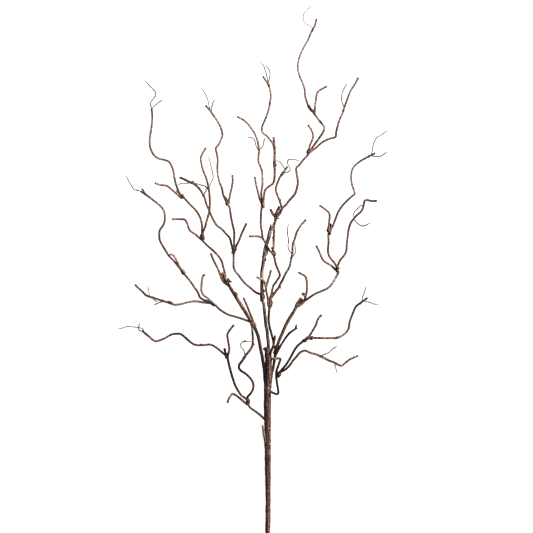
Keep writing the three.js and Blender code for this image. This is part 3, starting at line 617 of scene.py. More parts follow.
collar = {  # the lump of tape at a fork
    "shape": [0.55, 1, 0.92, 0.5],  # its girth from end to end
    "fill": 0.42,
    "bandGap": 3.4, "bandSpots": (0.08, 0.62), "bandProud": 0.12, "bandLean": 0.5,
    "bandWidth": 1.1, "bandSpread": (0.6, 1.2), "bandThick": 0.5,
    "sleeve": 0.45, "sleeveFor": 8,  # mm, the collar's width that the sleeve's thickness is for
    "sleeveReach": 2.5, "sleeveSpread": (-0.5, 1.5),
    "sleeveEnds": (0.4, 0.3), "fewest": 4,  # steps of a limb that a sleeve needs
    "knobs": 0.3, "knobAway": 0.75, "knobReach": 1.0, "knobSpread": (0.6, 1.2), "knobDepth": (0.8, 1.05),
    "knobLean": (-0.6, 1), "knobLength": (0.5, 1.3), "knobShape": [0.5, 1, 0.6],
}

knot = {"length": 5, "width": 4.2, "shape": [0.5, 1, 0.5]}  # holds a wisp


def knob(shell, spot, reach, chance):  # a small lump of tape on a collar's side
    line, girth = spot
    k = int(chance.integers(0, len(line.points)))
    turn = chance.uniform(0, 2 * math.pi)
    outward = math.cos(turn) * line.across[k] + math.sin(turn) * line.ups[k]
    middle = line.points[k] + outward * (girth * chance.uniform(*collar["knobDepth"]))
    lie = line.ways[k] * chance.uniform(*collar["knobLean"])
    lie = unit(lie + np.cross(line.ways[k], outward) * chance.uniform(-1, 1))
    half = lie * reach * chance.uniform(*collar["knobLength"])
    course = Route(np.array([middle - half, middle + half]), fineness["knobStep"])
    girths = [reach * share for share in collar["knobShape"]]
    spindle(shell, course, girths, fineness["knobSides"], leads=False)


def bind(shell, routes, girths, lump, chance, look, shape=collar["shape"]):  # tapes a fork
    route, k = nearestSpot(routes, lump["at"])
    middle = np.array([*lump["at"], lump.get("height", route.points[k][2])])
    half = route.ways[k] * lump["length"] / 2
    colour = (lump.get("tone", look["tone"]), lump.get("ash", look["ash"]))
    line = Route(np.array([middle - half, middle + half]), fineness["collarStep"], *colour)
    reach = lump["width"] / 2
    spindle(shell, line, [share * reach * collar["fill"] for share in shape], fineness["collarSides"])
    spots = [(line, reach * collar["knobAway"])]
    for route, girth in zip(routes, girths):  # tape that runs on along each limb the collar holds
        away = np.linalg.norm(route.points - middle, axis=1)
        runsOn = chance.uniform(*collar["sleeveSpread"]) * collar["sleeveReach"]
        held = np.flatnonzero(away < lump["length"] / 2 + runsOn)
        if len(held) < collar["fewest"]:
            continue
        part = Route(route.points[held[0]:held[-1] + 1], fineness["sleeveStep"], *colour)
        low, high = (float(spread(girth, held[k] / (len(route.points) - 1))) for k in (0, -1))
        extra = collar["sleeve"] * lump["width"] / collar["sleeveFor"]
        first, last = (extra * share for share in collar["sleeveEnds"])
        spindle(shell, part, [low + first, low + extra, high + extra, high + last], fineness["sleeveSides"])
        spots.append((part, (low + high) / 2 + extra))
    for _ in range(round(lump["length"] / collar["bandGap"])):
        spot = chance.uniform(*collar["bandSpots"])
        girth = float(spread(shape, spot)) * reach * (collar["fill"] + collar["bandProud"])
        lean = chance.uniform(-1, 1, 2) * collar["bandLean"]
        width = collar["bandWidth"] * chance.uniform(*collar["bandSpread"])
        band(shell, line, spot, girth, lean, width, collar["bandThick"])
    for _ in range(round(lump["length"] * collar["knobs"])):
        pick = spots[int(chance.integers(0, len(spots)))]
        knob(shell, pick, collar["knobReach"] * chance.uniform(*collar["knobSpread"]), chance)


# The rows of the dictionaries below. A course is seen from above and runs from root to tip, and so do the
# lists: lift is heights, girths are in mm, size is a share of a twig's usual girth, shade is added to the
# usual tone, in places as painted light where another limb shades a twig, and ash is how grey the colour
# turns. Limbs with girths of their own are stubs or are taped.

def limb(lift, *path, **more):  # a bough, twig or stub, with its heights first
    return {"lift": lift, "path": path, **more}


def lobe(girths, shade, *path, **more):  # a fold, flap or end of tape, beside the nearest limb
    return {"girths": girths, "shade": shade, "path": path, **more}


def stainAndLight(width, shade, *path, **more):  # a darker, paler or greyer place; some are stains, some are painted shade and painted light
    return {"width": width, "shade": shade, "path": path, **more}


def binding(at, length, width, **more):  # a collar of tape round a fork
    return {"at": at, "length": length, "width": width, **more}


def wisp(rise, *path, **more):  # a thread that is tied on where its course starts
    return {"rise": rise, "path": path, **more}


def lobeRoute(row, routes, look):
    near = [nearestSpot(routes, place) for place in row["path"]]
    heights = [route.points[k][2] + row.get("rise", 0) for route, k in near]
    path = smoothLine(np.column_stack([row["path"], heights]), fineness["lobeCurve"])
    return Route(path, fineness["lobeStep"], look["tone"] + row["shade"], row.get("ash", look["ash"]))


def tieWisps(rows, routes, chance, seed):
    threads = Shell()
    for n, row in enumerate(rows):
        route, k = nearestSpot(routes, row["path"][0])
        root = route.points[k]
        lift = [root[2], root[2] + row["rise"]]
        path = [tuple(root[:2]), *row["path"][1:]]
        line = limbRoute(path, lift, threadWrap["pace"], layout["lowestWisp"])
        line.tone = threadWrap["tone"] + row.get("shade", 0)
        line.ash = threadWrap["ash"]
        girth = threadWrap["girth"] + threadWrap["blotch"] * chance.uniform(*threadWrap["blotches"]) ** 3
        girth[-1] = threadWrap["girth"] * threadWrap["tip"]
        girth = girth * row.get("size", 1)
        rod(threads, line, girth, threadWrap["sides"], threadWrap, seed + apart["wisps"] + n)
    return threads


def grow(name, spray, look=collarWrap):  # makes a spray's pieces; a bough or the stem is a spray as well
    chance = np.random.default_rng(layout["seed"] + len(name) * 31 + sum(map(ord, name)))
    seed = int(chance.integers(1, 900))
    routes = [limbRoute(row["path"], row["lift"], paperWrap["pace"]) for row in spray["limbs"]]
    girths = []
    twigs = Shell()
    wraps = Shell()
    for n, (row, route) in enumerate(zip(spray["limbs"], routes)):
        stub = "girths" in row
        size = route.along(row.get("size", 1), route.spots)
        usual = (farAway(paperWrap["girths"], route.points) * size)[::fineness["girthEvery"]]
        girth = row["girths"] if stub else usual
        girths.append(girth)
        route.ash = row.get("ash", look["ash"])
        if stub and look is not collarWrap:
            route.tone = row.get("tone", look["tone"])
            spindle(wraps, route, girth, fineness["limbSides"])
        else:
            route.tone = row.get("shade", paperWrap["stubShade"] if stub else 0)
            wrap = dict(paperWrap, turn=1 if n % 2 else -1)
            rod(twigs, route, girth, wrap["sides"], wrap, seed + n * apart["limbs"])
    for row in spray["bindings"]:
        bind(wraps, routes, girths, row, chance, look)
    for row in spray.get("lobes", []):
        spindle(wraps, lobeRoute(row, routes, look), row["girths"], fineness["lobeSides"])
    for at in spray.get("knots", []):
        bind(wraps, routes, girths, binding(at, knot["length"], knot["width"]), chance, look, knot["shape"])
    stainsAndLight = spray.get("stainsAndLight", [])
    if twigs.count:
        paintStainsAndLight(twigs, stainsAndLight)
        put(name + "Twigs", twigs, bark, spray["node"])
    skin = wound(wraps, look, seed)
    paintStainsAndLight(skin, stainsAndLight)
    put(name + "Tape", skin, tape, spray["node"])
    if "wisps" in spray:
        put(name + "Wisps", tieWisps(spray["wisps"], routes, chance, seed), thread, spray["node"])
    print(name, twigs.count, skin.count)


# the stem, a cut stub at its left side and the hooked flap of tape at its top
mainStem = {
    "node": "main_stem",
    "limbs": [
        limb([4.05, 4.05, 6, 10, 17, 26, 37], (0.7, -9), (0.9, 20), (1.2, 59), (1, 94), (0.7, 130),
             (0.2, 167), (-0.1, 221), (0, 265), (0.8, 290), (1.4, 308), (0.9, 320), (0.8, 331),
             girths=[4.4, 4.5, 4.6, 5.2, 5.6, 5.9, 6.4, 6.5, 6.1, 5.2], tone=[0.44, 0.46, 0.5, 0.5, 0.53],
             ash=[0, 0, 0.1, 0.2, 0.2]),
        limb([14, 19, 22], (-3, 160), (-6, 174), (-9, 194), girths=[2.3, 2.3, 2.1]),
        limb([36, 37, 35], (2, 327.5), (-3, 330.8), (-8.2, 330.4), girths=[4, 4, 1.4], tone=0.3),
    ],
    "lobes": [
        lobe([2.8, 3.2, 3.2, 2.4], 0.02, (4.2, 280), (5, 298), (5, 312), (4.6, 324)),
    ],
    "stainsAndLight": [
        # painted shade along the stem's left side and painted light along its right
        stainAndLight(3, -0.1, (-2.8, -9), (-2.8, 60), (-3.2, 140)),
        stainAndLight(3.4, -0.14, (-3.2, 160), (-2.6, 250), (-1, 290), (0, 322), ash=0.25),
        stainAndLight(2.2, 0.05, (3.4, 240), (4.5, 275), (6, 300), (6, 312)),
        stainAndLight(1.6, 0.3, (2.2, 261), ash=0.5),
        stainAndLight(1.8, -0.5, (3.8, 250), (4.5, 246)),
        stainAndLight(1.2, 0.15, (0.5, 262), (1, 250)),
        stainAndLight(2.5, -0.25, (-8, 329), (-3, 326)),
        stainAndLight(2.2, 0.02, (-0.5, 262), (0, 305), ash=0.3),
        stainAndLight(3, -0.08, (3, 330)),
    ],
    "bindings": [
        binding((4, 160), 13, 7, height=13),
        binding((0.5, 321), 15, 13),
    ],
}
grow("mainStem", mainStem, stemWrap)

# the bough, two twigs bound straight on it and two cut stubs
leftBough = {
    "node": "left_bough",
    "limbs": [
        limb([25, 34, 47, 58, 70], (-2, 261), (-4.4, 275), (-5.8, 293), (-8.8, 313), (-12.3, 331),
             (-14.2, 342), (-17, 355), (-21, 365), (-25, 373), (-31, 383), (-40, 398), (-50, 414),
             (-60, 430), (-69, 445), (-76, 455), (-78, 462), girths=[2.8, 2.9, 3.1, 2.8],
             tone=[0.3, 0.45, 0.62, 0.66]),
        limb([67, 70, 76, 84], (-74, 448), (-79, 452), (-82, 456), (-86, 467), (-90, 477), (-97, 490.5),
             (-102, 503), shade=[0, 0.1]),
        limb([49, 55, 64], (-25, 378), (-28, 387), (-33, 399), (-36, 407), (-39, 414), (-43, 423),
             size=0.95, shade=[0.1, 0.3], ash=0.3),
        limb([69, 69], (-73, 452), (-69, 453), (-65, 452), girths=[2, 1.8, 1.7], tone=0.1),
        limb([63, 63], (-61, 432), (-58, 431.2), (-54, 427.6), girths=[2.6, 2.6, 1.9]),
    ],
    "lobes": [
        lobe([2.2, 2.4, 2.6, 2.6], 0.25, (-82.6, 468), (-79, 458), (-75, 449)),
        lobe([1.9, 2.1, 1.7], 0.1, (-83.7, 467.5), (-77, 467)),
        lobe([1.8, 2.1, 2.2], 0.12, (-78.3, 467), (-76.8, 461), (-73.5, 456), rise=1.5),
        lobe([1.6, 2.3, 1.8], -0.05, (-71, 458.5), (-69.5, 452.5)),
        lobe([2.6, 2.4], 0.02, (-77, 452), (-73, 447.5)),
        lobe([3, 4, 4.1, 3.2], 0.2, (-28.8, 380), (-26.5, 375.5), (-23.4, 370)),
        lobe([2, 1.6], 0.14, (-27, 376.5), (-30.8, 374.3)),
        lobe([2.5, 3, 2.2], 0.1, (-24, 378), (-21.5, 371.5)),
    ],
    "stainsAndLight": [
        stainAndLight(1.3, -0.3, (-81.5, 464), (-78.5, 457), (-75, 451)),
        stainAndLight(2, 0.1, (-78, 467), (-75.5, 459), (-71, 455)),
        stainAndLight(2, 0.14, (-84.5, 463), (-80, 452), (-77, 449)),
        stainAndLight(2, 0.15, (-71, 452), (-68, 453)),
        stainAndLight(1.4, -0.4, (-66, 452.5)),
        stainAndLight(1.8, -0.3, (-40, 396), (-33, 384)),
        stainAndLight(1.2, 0.15, (-34.5, 393), (-30, 385), ash=0.4),
        stainAndLight(2.2, 0.18, (-26, 380), (-22.5, 376), (-21, 371)),
        stainAndLight(1.6, 0.15, (-17, 362), (-14, 350), (-11.5, 340)),
    ],
    "bindings": [
        binding((-26, 375), 13, 9),
        binding((-73, 450), 14, 7, tone=0.55),
    ],
}
grow("leftBough", leftBough, boughWrap)

# the bough and two cut stubs
centreBough = {
    "node": "centre_bough",
    "limbs": [
        limb([35, 50, 66, 83, 100], (1, 322), (1.6, 336), (1.1, 344), (0.2, 351), (-0.9, 364), (-3, 374),
             (-3.8, 383), (-5.4, 398), (-6.6, 410), (-9, 421), (-10, 432), (-10, 455), (-10, 470),
             (-8.2, 482), (-6.8, 493), (-5, 504), (-2.5, 517), (2.2, 532), (4.4, 543.5),
             girths=[2.8, 2.8, 2.8, 3, 3.2, 3.5], tone=[0.48, 0.57, 0.68, 0.86, 0.68],
             ash=[0.1, 0.2, 0.4, 0.5, 0.3]),
        limb([61, 61], (-9, 421), (-13, 418), girths=[1.8, 1.4]),
        limb([82, 82], (-6, 498), (-10, 497), girths=[1.8, 1.3]),
    ],
    "lobes": [
        # the upper collar's lobes are pale grey tape, made paler still as painted light where the twigs
        # beside it shade it
        lobe([2.4, 3.2, 3.9, 2.6], 0.5, (-0.5, 516.5), (-2.3, 506), (-5.2, 497), ash=0.5),
        lobe([1.8, 1.5], 0.2, (-4.5, 499.5), (-8.4, 496.3), ash=0.4),
        lobe([1.8, 1.5], -0.3, (-4, 495), (-3.2, 490.5)),
        lobe([2.4, 3, 2.8, 2.2], 0, (-10.5, 434), (-10.8, 426), (-10.8, 419.5), ash=0.3),
        lobe([2, 2.3, 1.8], 0.42, (-8, 433.5), (-5.6, 437), ash=0.5),
        lobe([2.1, 2.5, 2], 0.28, (-7.4, 430), (-6.6, 421)),
        lobe([2.9, 2.5, 1.9, 1.5], 0.02, (4.2, 541.5), (5.5, 549), (6.1, 555.6), ash=0.1),
    ],
    "stainsAndLight": [
        # painted light on the upper collar, where the twigs beside it shade it
        stainAndLight(3.5, 0.3, (-2, 512), (-1.5, 500), (-2.5, 494), ash=0.1),
        stainAndLight(1.8, -0.3, (-12, 468), (-10.5, 480), (-8, 492), (-7, 504)),
        stainAndLight(2.5, -0.2, (0, 520), (3, 532)),
        stainAndLight(2.5, -0.25, (-12.5, 424), ash=0.4),
        stainAndLight(1.8, 0.18, (-3, 400), (-5.6, 414), (-6, 428)),
        stainAndLight(1.4, 0.18, (2.5, 340), (1, 356), (-1.5, 372), (-3, 386)),
        stainAndLight(2.5, -0.2, (-10.5, 440), (-10, 452), ash=0.3),
        stainAndLight(1.3, -0.22, (-3, 513), (-3, 503)),
        stainAndLight(1.3, 0.2, (0, 511), (0, 505)),
        stainAndLight(1.5, 0.2, (-2.5, 498)),
        stainAndLight(2.5, 0.14, (-4, 385), (-5.5, 405), (-7, 415)),
        stainAndLight(3, 0.1, (-10.5, 460), (-10, 475)),
        stainAndLight(1.5, 0.18, (1.5, 524), (3.6, 536), (5.2, 544), ash=0.5),
        stainAndLight(1.2, -0.12, (0.2, 528), (3.4, 548)),
    ],
    "bindings": [
        binding((-9.5, 427), 18, 7, tone=0.6),
        # the upper collar's tone is raised as painted light, where the twigs beside it shade it
        binding((-3.5, 506), 22, 7, tone=0.95, ash=0.5),
    ],
}
grow("centreBough", centreBough, boughWrap)

# the bough, two twigs bound straight on it and five stubs
rightBough = {
    "node": "right_bough",
    "limbs": [
        limb([24, 27, 36, 53, 74], (2.5, 247), (3.8, 254), (5.3, 268), (7.3, 284), (10.3, 297), (12, 308),
             (13.5, 317), (15, 329), (18, 338), (22, 349), (27, 360), (31.5, 371), (39, 385), (45, 394.5),
             (50.5, 404.5), (53, 411), (58, 418), girths=[2.4, 2.5, 2.8, 3, 2.9],
             tone=[0.38, 0.42, 0.6, 0.78, 0.7]),
        limb([74, 78, 84, 96], (59, 415), (66, 419), (69, 427), (71, 437), (71, 448), (70, 457),
             (68, 462), (56, 469), shade=[0, 0.1]),
        limb([33, 37, 45, 55], (16, 322), (18, 327), (21, 332), (26, 341), (32, 350), (38, 358),
             (46, 364.5), (53, 369), girths=[1.95], tone=0.3),
        limb([54, 55], (50, 367), (52.5, 375), girths=[1.7]),
        limb([74, 76], (57, 417), (60, 424), girths=[1.7, 1.5]),
        limb([77, 79, 80], (69, 422), (67.8, 426), (66.3, 430), (63.6, 431.3), (62.2, 428.8),
             girths=[1.7, 2, 1.8]),
        limb([34, 36], (15, 330), (13, 336), girths=[2.2, 1.5]),
        limb([34, 35], (14, 327), (10.5, 323), girths=[2.2, 1.5]),
    ],
    "lobes": [
        lobe([2.6, 3, 2.8, 2.1], 0.1, (53.5, 407.7), (61.5, 413), (70, 421.5)),
        lobe([1.7, 2.1, 1.6], 0.22, (52.8, 410.2), (56.7, 413.2), ash=0.2, rise=2.5),
        lobe([1.8, 2, 1.5], 0.05, (55.6, 416.3), (59.2, 423)),
        lobe([1.7, 1.7, 1.4], -0.1, (59.4, 417), (62.6, 421.8)),
        lobe([2.2, 2.6, 2.1], -0.12, (66, 417.5), (69, 422.5), ash=0.4, rise=0.8),
        lobe([2, 2.6, 2.1], 0.28, (64.2, 429.5), (67.5, 427)),
    ],
    "stainsAndLight": [
        stainAndLight(1.8, 0.2, (55, 408.5), (63, 412)),
        stainAndLight(2, 0.15, (52, 411), (57, 419), (60, 423)),
        stainAndLight(2, 0.2, (61, 419)),
        stainAndLight(1.3, -0.5, (62.5, 430)),
        stainAndLight(3, -0.25, (71, 422), (77, 425.5)),
        stainAndLight(2.2, -0.3, (13, 324), (13.5, 330)),
        stainAndLight(2, 0.2, (12.5, 336.5)),
        stainAndLight(2, 0.15, (18.5, 331)),
    ],
    "bindings": [
        binding((15, 330), 18, 8.5, tone=0.5),
        binding((59, 414), 16, 7),
    ],
}
grow("rightBough", rightBough, boughWrap)

# The sprays. The first limb of each leaves the stem, a bough or the collar of another spray.
lowerLeft = {
    "node": "lower_left",
    "limbs": [
        limb([16, 10, 8], (-2, 201), (-6, 205), (-13.5, 212), (-22.5, 219), (-31, 225), (-35, 231),
             (-35, 238), shade=0),
        limb([8, 4, 1.2, 1.2], (-36, 231), (-44, 237), (-51, 243), (-58, 248), (-63, 250), (-66.3, 246.4),
             (-69.8, 241), (-72, 234), shade=[-0.14, 0.1, 0.1]),
        # its end by the left bough's collar is painted light, where that bough shades it
        limb([9, 16, 26, 33, 36], (-35, 236), (-36, 244), (-31, 250), (-26, 259), (-26, 269), (-30, 277),
             (-39, 286), (-48, 292), (-51.5, 297), (-50.5, 303), (-45, 310.5), (-39, 320), (-31.5, 329),
             (-27, 338), (-26.5, 347), (-27, 360), (-28, 374), size=[1, 1, 1.05, 1.12, 1, 1],
             shade=[-0.1, 0.04, -0.08, 0.2, 0.58]),
        limb([33, 33.5], (-28, 337), (-23.5, 340), girths=[1.5, 1.2]),
    ],
    "lobes": [
        lobe([1.3, 1.5, 1.5, 1.4], 0.04, (-37.5, 243.5), (-33, 239), (-33, 231.5), ash=0.1),
        lobe([2, 2.5, 2], -0.4, (-37, 240), (-35.6, 234.5)),
        lobe([1.2, 1.6, 1.2], -0.6, (-42.9, 344.4), (-39.6, 345.2), ash=0.2, rise=-1.3),
    ],
    "stainsAndLight": [
        stainAndLight(2.5, -0.35, (-36.5, 244), (-31, 250)),
        stainAndLight(1.6, -0.25, (-38, 237), (-36, 235.5)),
        stainAndLight(1.6, 0.15, (-25.8, 345), (-26.2, 366)),
        stainAndLight(3, 0.18, (-56, 246)),
        stainAndLight(3, 0.12, (-62, 250), (-52, 244)),
    ],
    "bindings": [
        binding((-34.5, 235), 11, 6.5),
    ],
    "wisps": [
        wisp(4, (-41, 318), (-41.6, 325), (-44.5, 331), (-48, 335), (-48.6, 339), (-46, 342.8),
             (-41.5, 345.2), (-35, 344.8), (-29, 345)),
    ],
    "knots": [(-42, 317)],
}
grow("lowerLeft", lowerLeft)

lowerLeftTip = {
    "node": "lower_left_tip",
    "limbs": [
        limb([8.5, 14, 18], (-35, 237), (-41, 243), (-46, 246), (-52, 254), (-58, 265), (-63, 279),
             (-67.5, 295), (-71, 310), (-73, 322), size=[1, 1.05, 1.12, 1.08],
             shade=[-0.1, -0.2, -0.15, -0.12]),
        limb([18, 24, 34], (-72, 318), (-69, 329), (-70, 340), (-72, 351), (-72, 358), (-68, 365),
             (-61, 374), size=0.95, shade=[0.05, 0.2]),
        limb([18, 12, 6, 1.2, 1.2, 6], (-74, 318), (-82, 325), (-89, 331), (-98, 337), (-103.5, 339),
             (-116, 338), (-127, 338), (-134, 340), (-141.5, 345.5), (-148.5, 352), (-157, 358),
             (-165, 358.5), (-173.5, 357), (-184, 351), (-193.5, 347), (-201, 345), (-206, 347),
             (-213, 353), (-220.5, 359), (-226, 364), shade=[0, 0.1, 0.1, 0, -0.13, 0.14, -0.22]),
        limb([18, 22], (-73, 320), (-76.5, 326), (-77, 331), girths=[1.9, 1.8, 2.4], shade=-0.25),
    ],
    "lobes": [
        lobe([2, 2.8, 2.4, 1.9], -0.25, (-71.5, 323), (-72.5, 316), (-71.5, 311.5)),
        lobe([2.4, 2.6, 2], -0.1, (-73, 317.5), (-75, 313.8)),
        lobe([1.8, 2.3, 2.1, 1.6], -0.3, (-148, 351.4), (-144.5, 348), (-141, 345.6)),
        lobe([1.5, 1.6], -0.3, (-79.2, 331), (-75.6, 331.2)),
    ],
    "stainsAndLight": [
        stainAndLight(1.2, 0.2, (-75.5, 323), (-73.5, 320)),
        stainAndLight(1.5, 0.15, (-69, 322), (-68.5, 345)),
        stainAndLight(3, 0.2, (-46, 246), (-39, 241)),
        stainAndLight(2.2, -0.25, (-221, 359.5), (-216.5, 356)),
        stainAndLight(1.6, 0.25, (-225, 363)),
    ],
    "bindings": [
        binding((-72.5, 318), 12, 5.5, tone=0.4),
    ],
    "wisps": [
        wisp(6, (-226, 362), (-231, 364.5), (-232.5, 369), (-231, 377), size=1.15, shade=-0.1),
        wisp(10, (-222, 362), (-224, 366), (-229.5, 369), (-235, 370), (-246, 371), (-255, 371),
             (-264, 368), (-271, 367)),
    ],
    "knots": [(-220, 358), (-143, 346), (-120, 340)],
}
grow("lowerLeftTip", lowerLeftTip)

leftSide = {
    "node": "left_side",
    "limbs": [
        # its root end is painted light, where the left bough above it casts shade
        limb([47, 40, 27, 12, 4.2], (-26, 377), (-31.5, 380), (-40.5, 383.5), (-57, 389), (-71, 393),
             (-80, 398), (-87, 403), (-95.5, 411), (-103, 414), shade=[0.95, 0.5, 0.25, 0.05]),
        limb([4.2, 2, 1.2, 1.2, 3, 8], (-103, 414), (-116, 415), (-131, 417), (-145, 415), (-156, 412),
             (-163, 411.1), (-168.7, 411), (-172.6, 412.6), (-183, 416), (-195, 419.8), (-208, 424),
             (-219, 428), (-226, 435), (-233.5, 441.5), (-239, 447),
             shade=[0.02, 0.36, 0.12, -0.08, -0.14, 0.12], ash=[0.4, 0.5, 0.35, 0.1, 0.3, 0.2]),
        limb([4.6, 12, 20], (-98, 412), (-107, 422), (-116, 429), (-119, 436), (-119, 445), (-118, 455),
             (-116, 463), (-113, 465), shade=[0.5, 0.35], ash=[0.4, 0.6, 0.4]),
    ],
    "lobes": [
        lobe([1.5, 1.8, 1.5], 0.16, (-104.4, 419.8), (-97.2, 412.5), ash=0.5),
        lobe([2.4, 2.2, 1.6], -0.05, (-101, 413), (-95.5, 408.8), ash=0.4),
        lobe([1.9, 2.2, 1.7, 1.1], -0.1, (-171.6, 413.2), (-175.5, 415.2), (-181.5, 417), ash=0.6),
    ],
    "stainsAndLight": [
        stainAndLight(1.8, 0.2, (-105, 420), (-100, 416), (-95, 411)),
        stainAndLight(1.5, -0.25, (-104, 412.5), (-101, 411.5)),
        stainAndLight(3, 0.15, (-127, 416), (-110, 415)),
    ],
    "bindings": [
        binding((-100, 413), 13, 6.5, ash=0.4),
        binding((-175, 413), 10, 5),
    ],
    "wisps": [
        wisp(4, (-188, 417), (-192, 415.6), (-196, 414.6), (-199.4, 412.8), (-204, 411), size=1.25,
             shade=-0.15),
        wisp(6, (-208, 424), (-204, 419), (-199, 416)),
        wisp(8, (-212, 428), (-214, 434), (-216, 443), size=0.85, shade=0.05),
    ],
    "knots": [(-189, 418), (-208, 424)],
}
grow("leftSide", leftSide)

leftSideTip = {
    "node": "left_side_tip",
    "limbs": [
        limb([5.5, 16, 30], (-103, 415), (-109, 418), (-114, 419), (-122, 424.5), (-125, 432),
             (-131, 441), (-140, 454), (-151, 467.5), (-154, 473), shade=0.08),
        limb([30, 42, 52, 60, 70], (-154, 471), (-163, 483), (-170, 491), (-178, 499.5), (-184, 509),
             (-190, 519), (-194, 527), (-195, 536), (-194, 545), (-188, 554), (-185, 563), (-185, 572),
             (-187, 581), (-193, 589), (-203, 597), (-212, 604), (-221, 610.4), (-228, 615),
             size=[1.05, 1, 1, 1, 1, 1], shade=[0, 0, -0.05, -0.15, 0.12, 0.1, 0.04],
             ash=[0.2, 0.3, 0.2, 0.3, 0.5, 0.5, 0.1]),
        limb([31, 38, 42], (-153, 471.5), (-157, 477), (-160.3, 484), (-164, 491), (-168.5, 498.5),
             (-173, 501.5), (-178, 500), size=0.9, shade=[0, 0.25], ash=0.3),
        limb([69.5, 71], (-218.5, 609.6), (-222, 614.4), (-225.8, 619), girths=[1, 0.9, 1.9]),
    ],
    "lobes": [
        lobe([1.9, 2.8, 2.2], 0.16, (-153, 474), (-149, 467.5)),
        lobe([1.2, 1.4, 1.2], -0.2, (-155.6, 470.4), (-152.4, 465.2)),
        lobe([1, 1.5, 1.1], -0.2, (-236.6, 617.4), (-232, 616.6), rise=1.5),
    ],
    "stainsAndLight": [
        stainAndLight(1.6, -0.3, (-156.3, 471)),
        stainAndLight(1.6, 0.25, (-152, 473), (-149.5, 469)),
        stainAndLight(3, 0.22, (-163, 485), (-157, 476), ash=0.15),
        stainAndLight(2.2, -0.2, (-224, 612.5), (-213, 605)),
    ],
    "bindings": [
        binding((-152.5, 471), 9, 6),
    ],
    "wisps": [
        wisp(8, (-228, 616), (-235, 617), (-240.5, 618.6), (-244, 623.5), (-248.5, 631), (-252, 638),
             (-254.5, 642.5)),
        wisp(4, (-226, 619), (-229.5, 624), (-233, 627), size=0.65, shade=0.3),
    ],
    "knots": [(-218, 609)],
}
grow("leftSideTip", leftSideTip)

leftTop = {
    "node": "left_top",
    "limbs": [
        limb([70, 70, 67, 62, 60], (-75, 454), (-77, 468), (-80.5, 482), (-82, 488), (-88, 498),
             (-97, 507.5), (-111, 520), (-118, 529), (-118, 537), shade=[-0.08, -0.04, 0.05, 0]),
        limb([60, 50, 40], (-117, 527), (-121.5, 530), (-129, 537), (-140, 545), (-145, 558), (-149, 564),
             (-159, 565), (-172, 565), shade=[0.08, 0.15, 0.17]),
        limb([61, 66, 74, 86, 100], (-117, 533), (-116, 542), (-113, 549), (-110, 560), (-106, 574),
             (-104, 585), (-104, 599), (-105, 614), (-107, 626), (-111, 641), (-116, 653), (-119, 666),
             (-120, 675), (-117, 683), (-111, 693), shade=[0, 0.05, 0.08, 0, 0.2, 0.1]),
        limb([75.5, 77], (-106, 618), (-113, 625), girths=[1.4, 1.2], shade=0.1),
    ],
    "lobes": [
        lobe([2.2, 3.1, 3, 2.2], 0.11, (-117, 539), (-116.4, 527.5), ash=0.3),
        lobe([2.1, 2.5, 1.9], 0, (-119.8, 537.5), (-118.8, 530), ash=0.5),
        lobe([2, 2.4, 1.8], 0.1, (-115.5, 532), (-114, 528.5)),
    ],
    "stainsAndLight": [
        stainAndLight(2.5, -0.25, (-114.5, 544), (-110.5, 555)),
        stainAndLight(3, 0.1, (-124, 532), (-134, 541)),
    ],
    "bindings": [
        binding((-117.8, 532), 10, 7, ash=0.4),
    ],
    "wisps": [
        wisp(10, (-106, 621), (-102, 630), (-98, 639), (-99, 650), (-102, 661), (-104, 671), (-107, 677),
             size=0.9),
    ],
    "knots": [(-107, 621)],
}
grow("leftTop", leftTop)

leftTopTip = {
    "node": "left_top_tip",
    "limbs": [
        limb([60, 50, 38], (-118, 534), (-118, 543), (-118, 554), (-121, 567), (-128, 579.5), (-140, 592),
             (-150, 603), (-155, 608), shade=[0, 0.1, 0]),
        limb([38, 32, 30], (-154, 602.5), (-157, 604.4), (-160.4, 607.3), (-165.6, 612.2), (-174, 619.5),
             (-181, 625), (-194, 627), (-203, 630), shade=[0.05, 0.2], ash=0.2),
        limb([38, 22, 8, 1.2, 6, 16], (-154, 605), (-158, 611), (-161, 617), (-165, 628), (-168, 641),
             (-170, 653), (-174, 663), (-178, 669), (-186, 672), (-197, 675), (-204, 680), (-209, 688),
             (-212, 698), (-212, 711), (-210, 725), (-208, 740), (-208, 756), (-209, 765),
             shade=[0.05, -0.05, 0, 0, 0.2, 0, 0], ash=[0.1, 0.9, 0.25, 0.5, 0.4, 0.5, 0.4]),
    ],
    "lobes": [
        lobe([1.9, 1.5, 1.5], 0.16, (-163.8, 617), (-158.4, 610)),
        lobe([1.5, 1.9, 1.4], 0.16, (-154, 610.3), (-150.6, 605.7)),
        lobe([1.4, 1.9, 1.4], -0.25, (-158, 610.5), (-155, 606.5), (-152.5, 604.5)),
        lobe([1.6, 2, 1.4], 0.2, (-157, 604.5), (-154, 602.8)),
    ],
    "stainsAndLight": [
        stainAndLight(3, 0.18, (-149, 601), (-133, 584)),
        stainAndLight(3, 0.12, (-160, 607), (-176, 621)),
    ],
    "bindings": [
        binding((-153.5, 606), 8, 5),
    ],
    "wisps": [
        wisp(12, (-209, 767), (-211, 774), (-206, 782), (-202, 788), (-202, 794), (-206, 799),
             (-213, 806), (-221, 815), size=1.12),
        wisp(5, (-207, 765), (-203, 770), (-197, 775), (-189, 780)),
    ],
    "knots": [(-209, 763)],
}
grow("leftTopTip", leftTopTip)

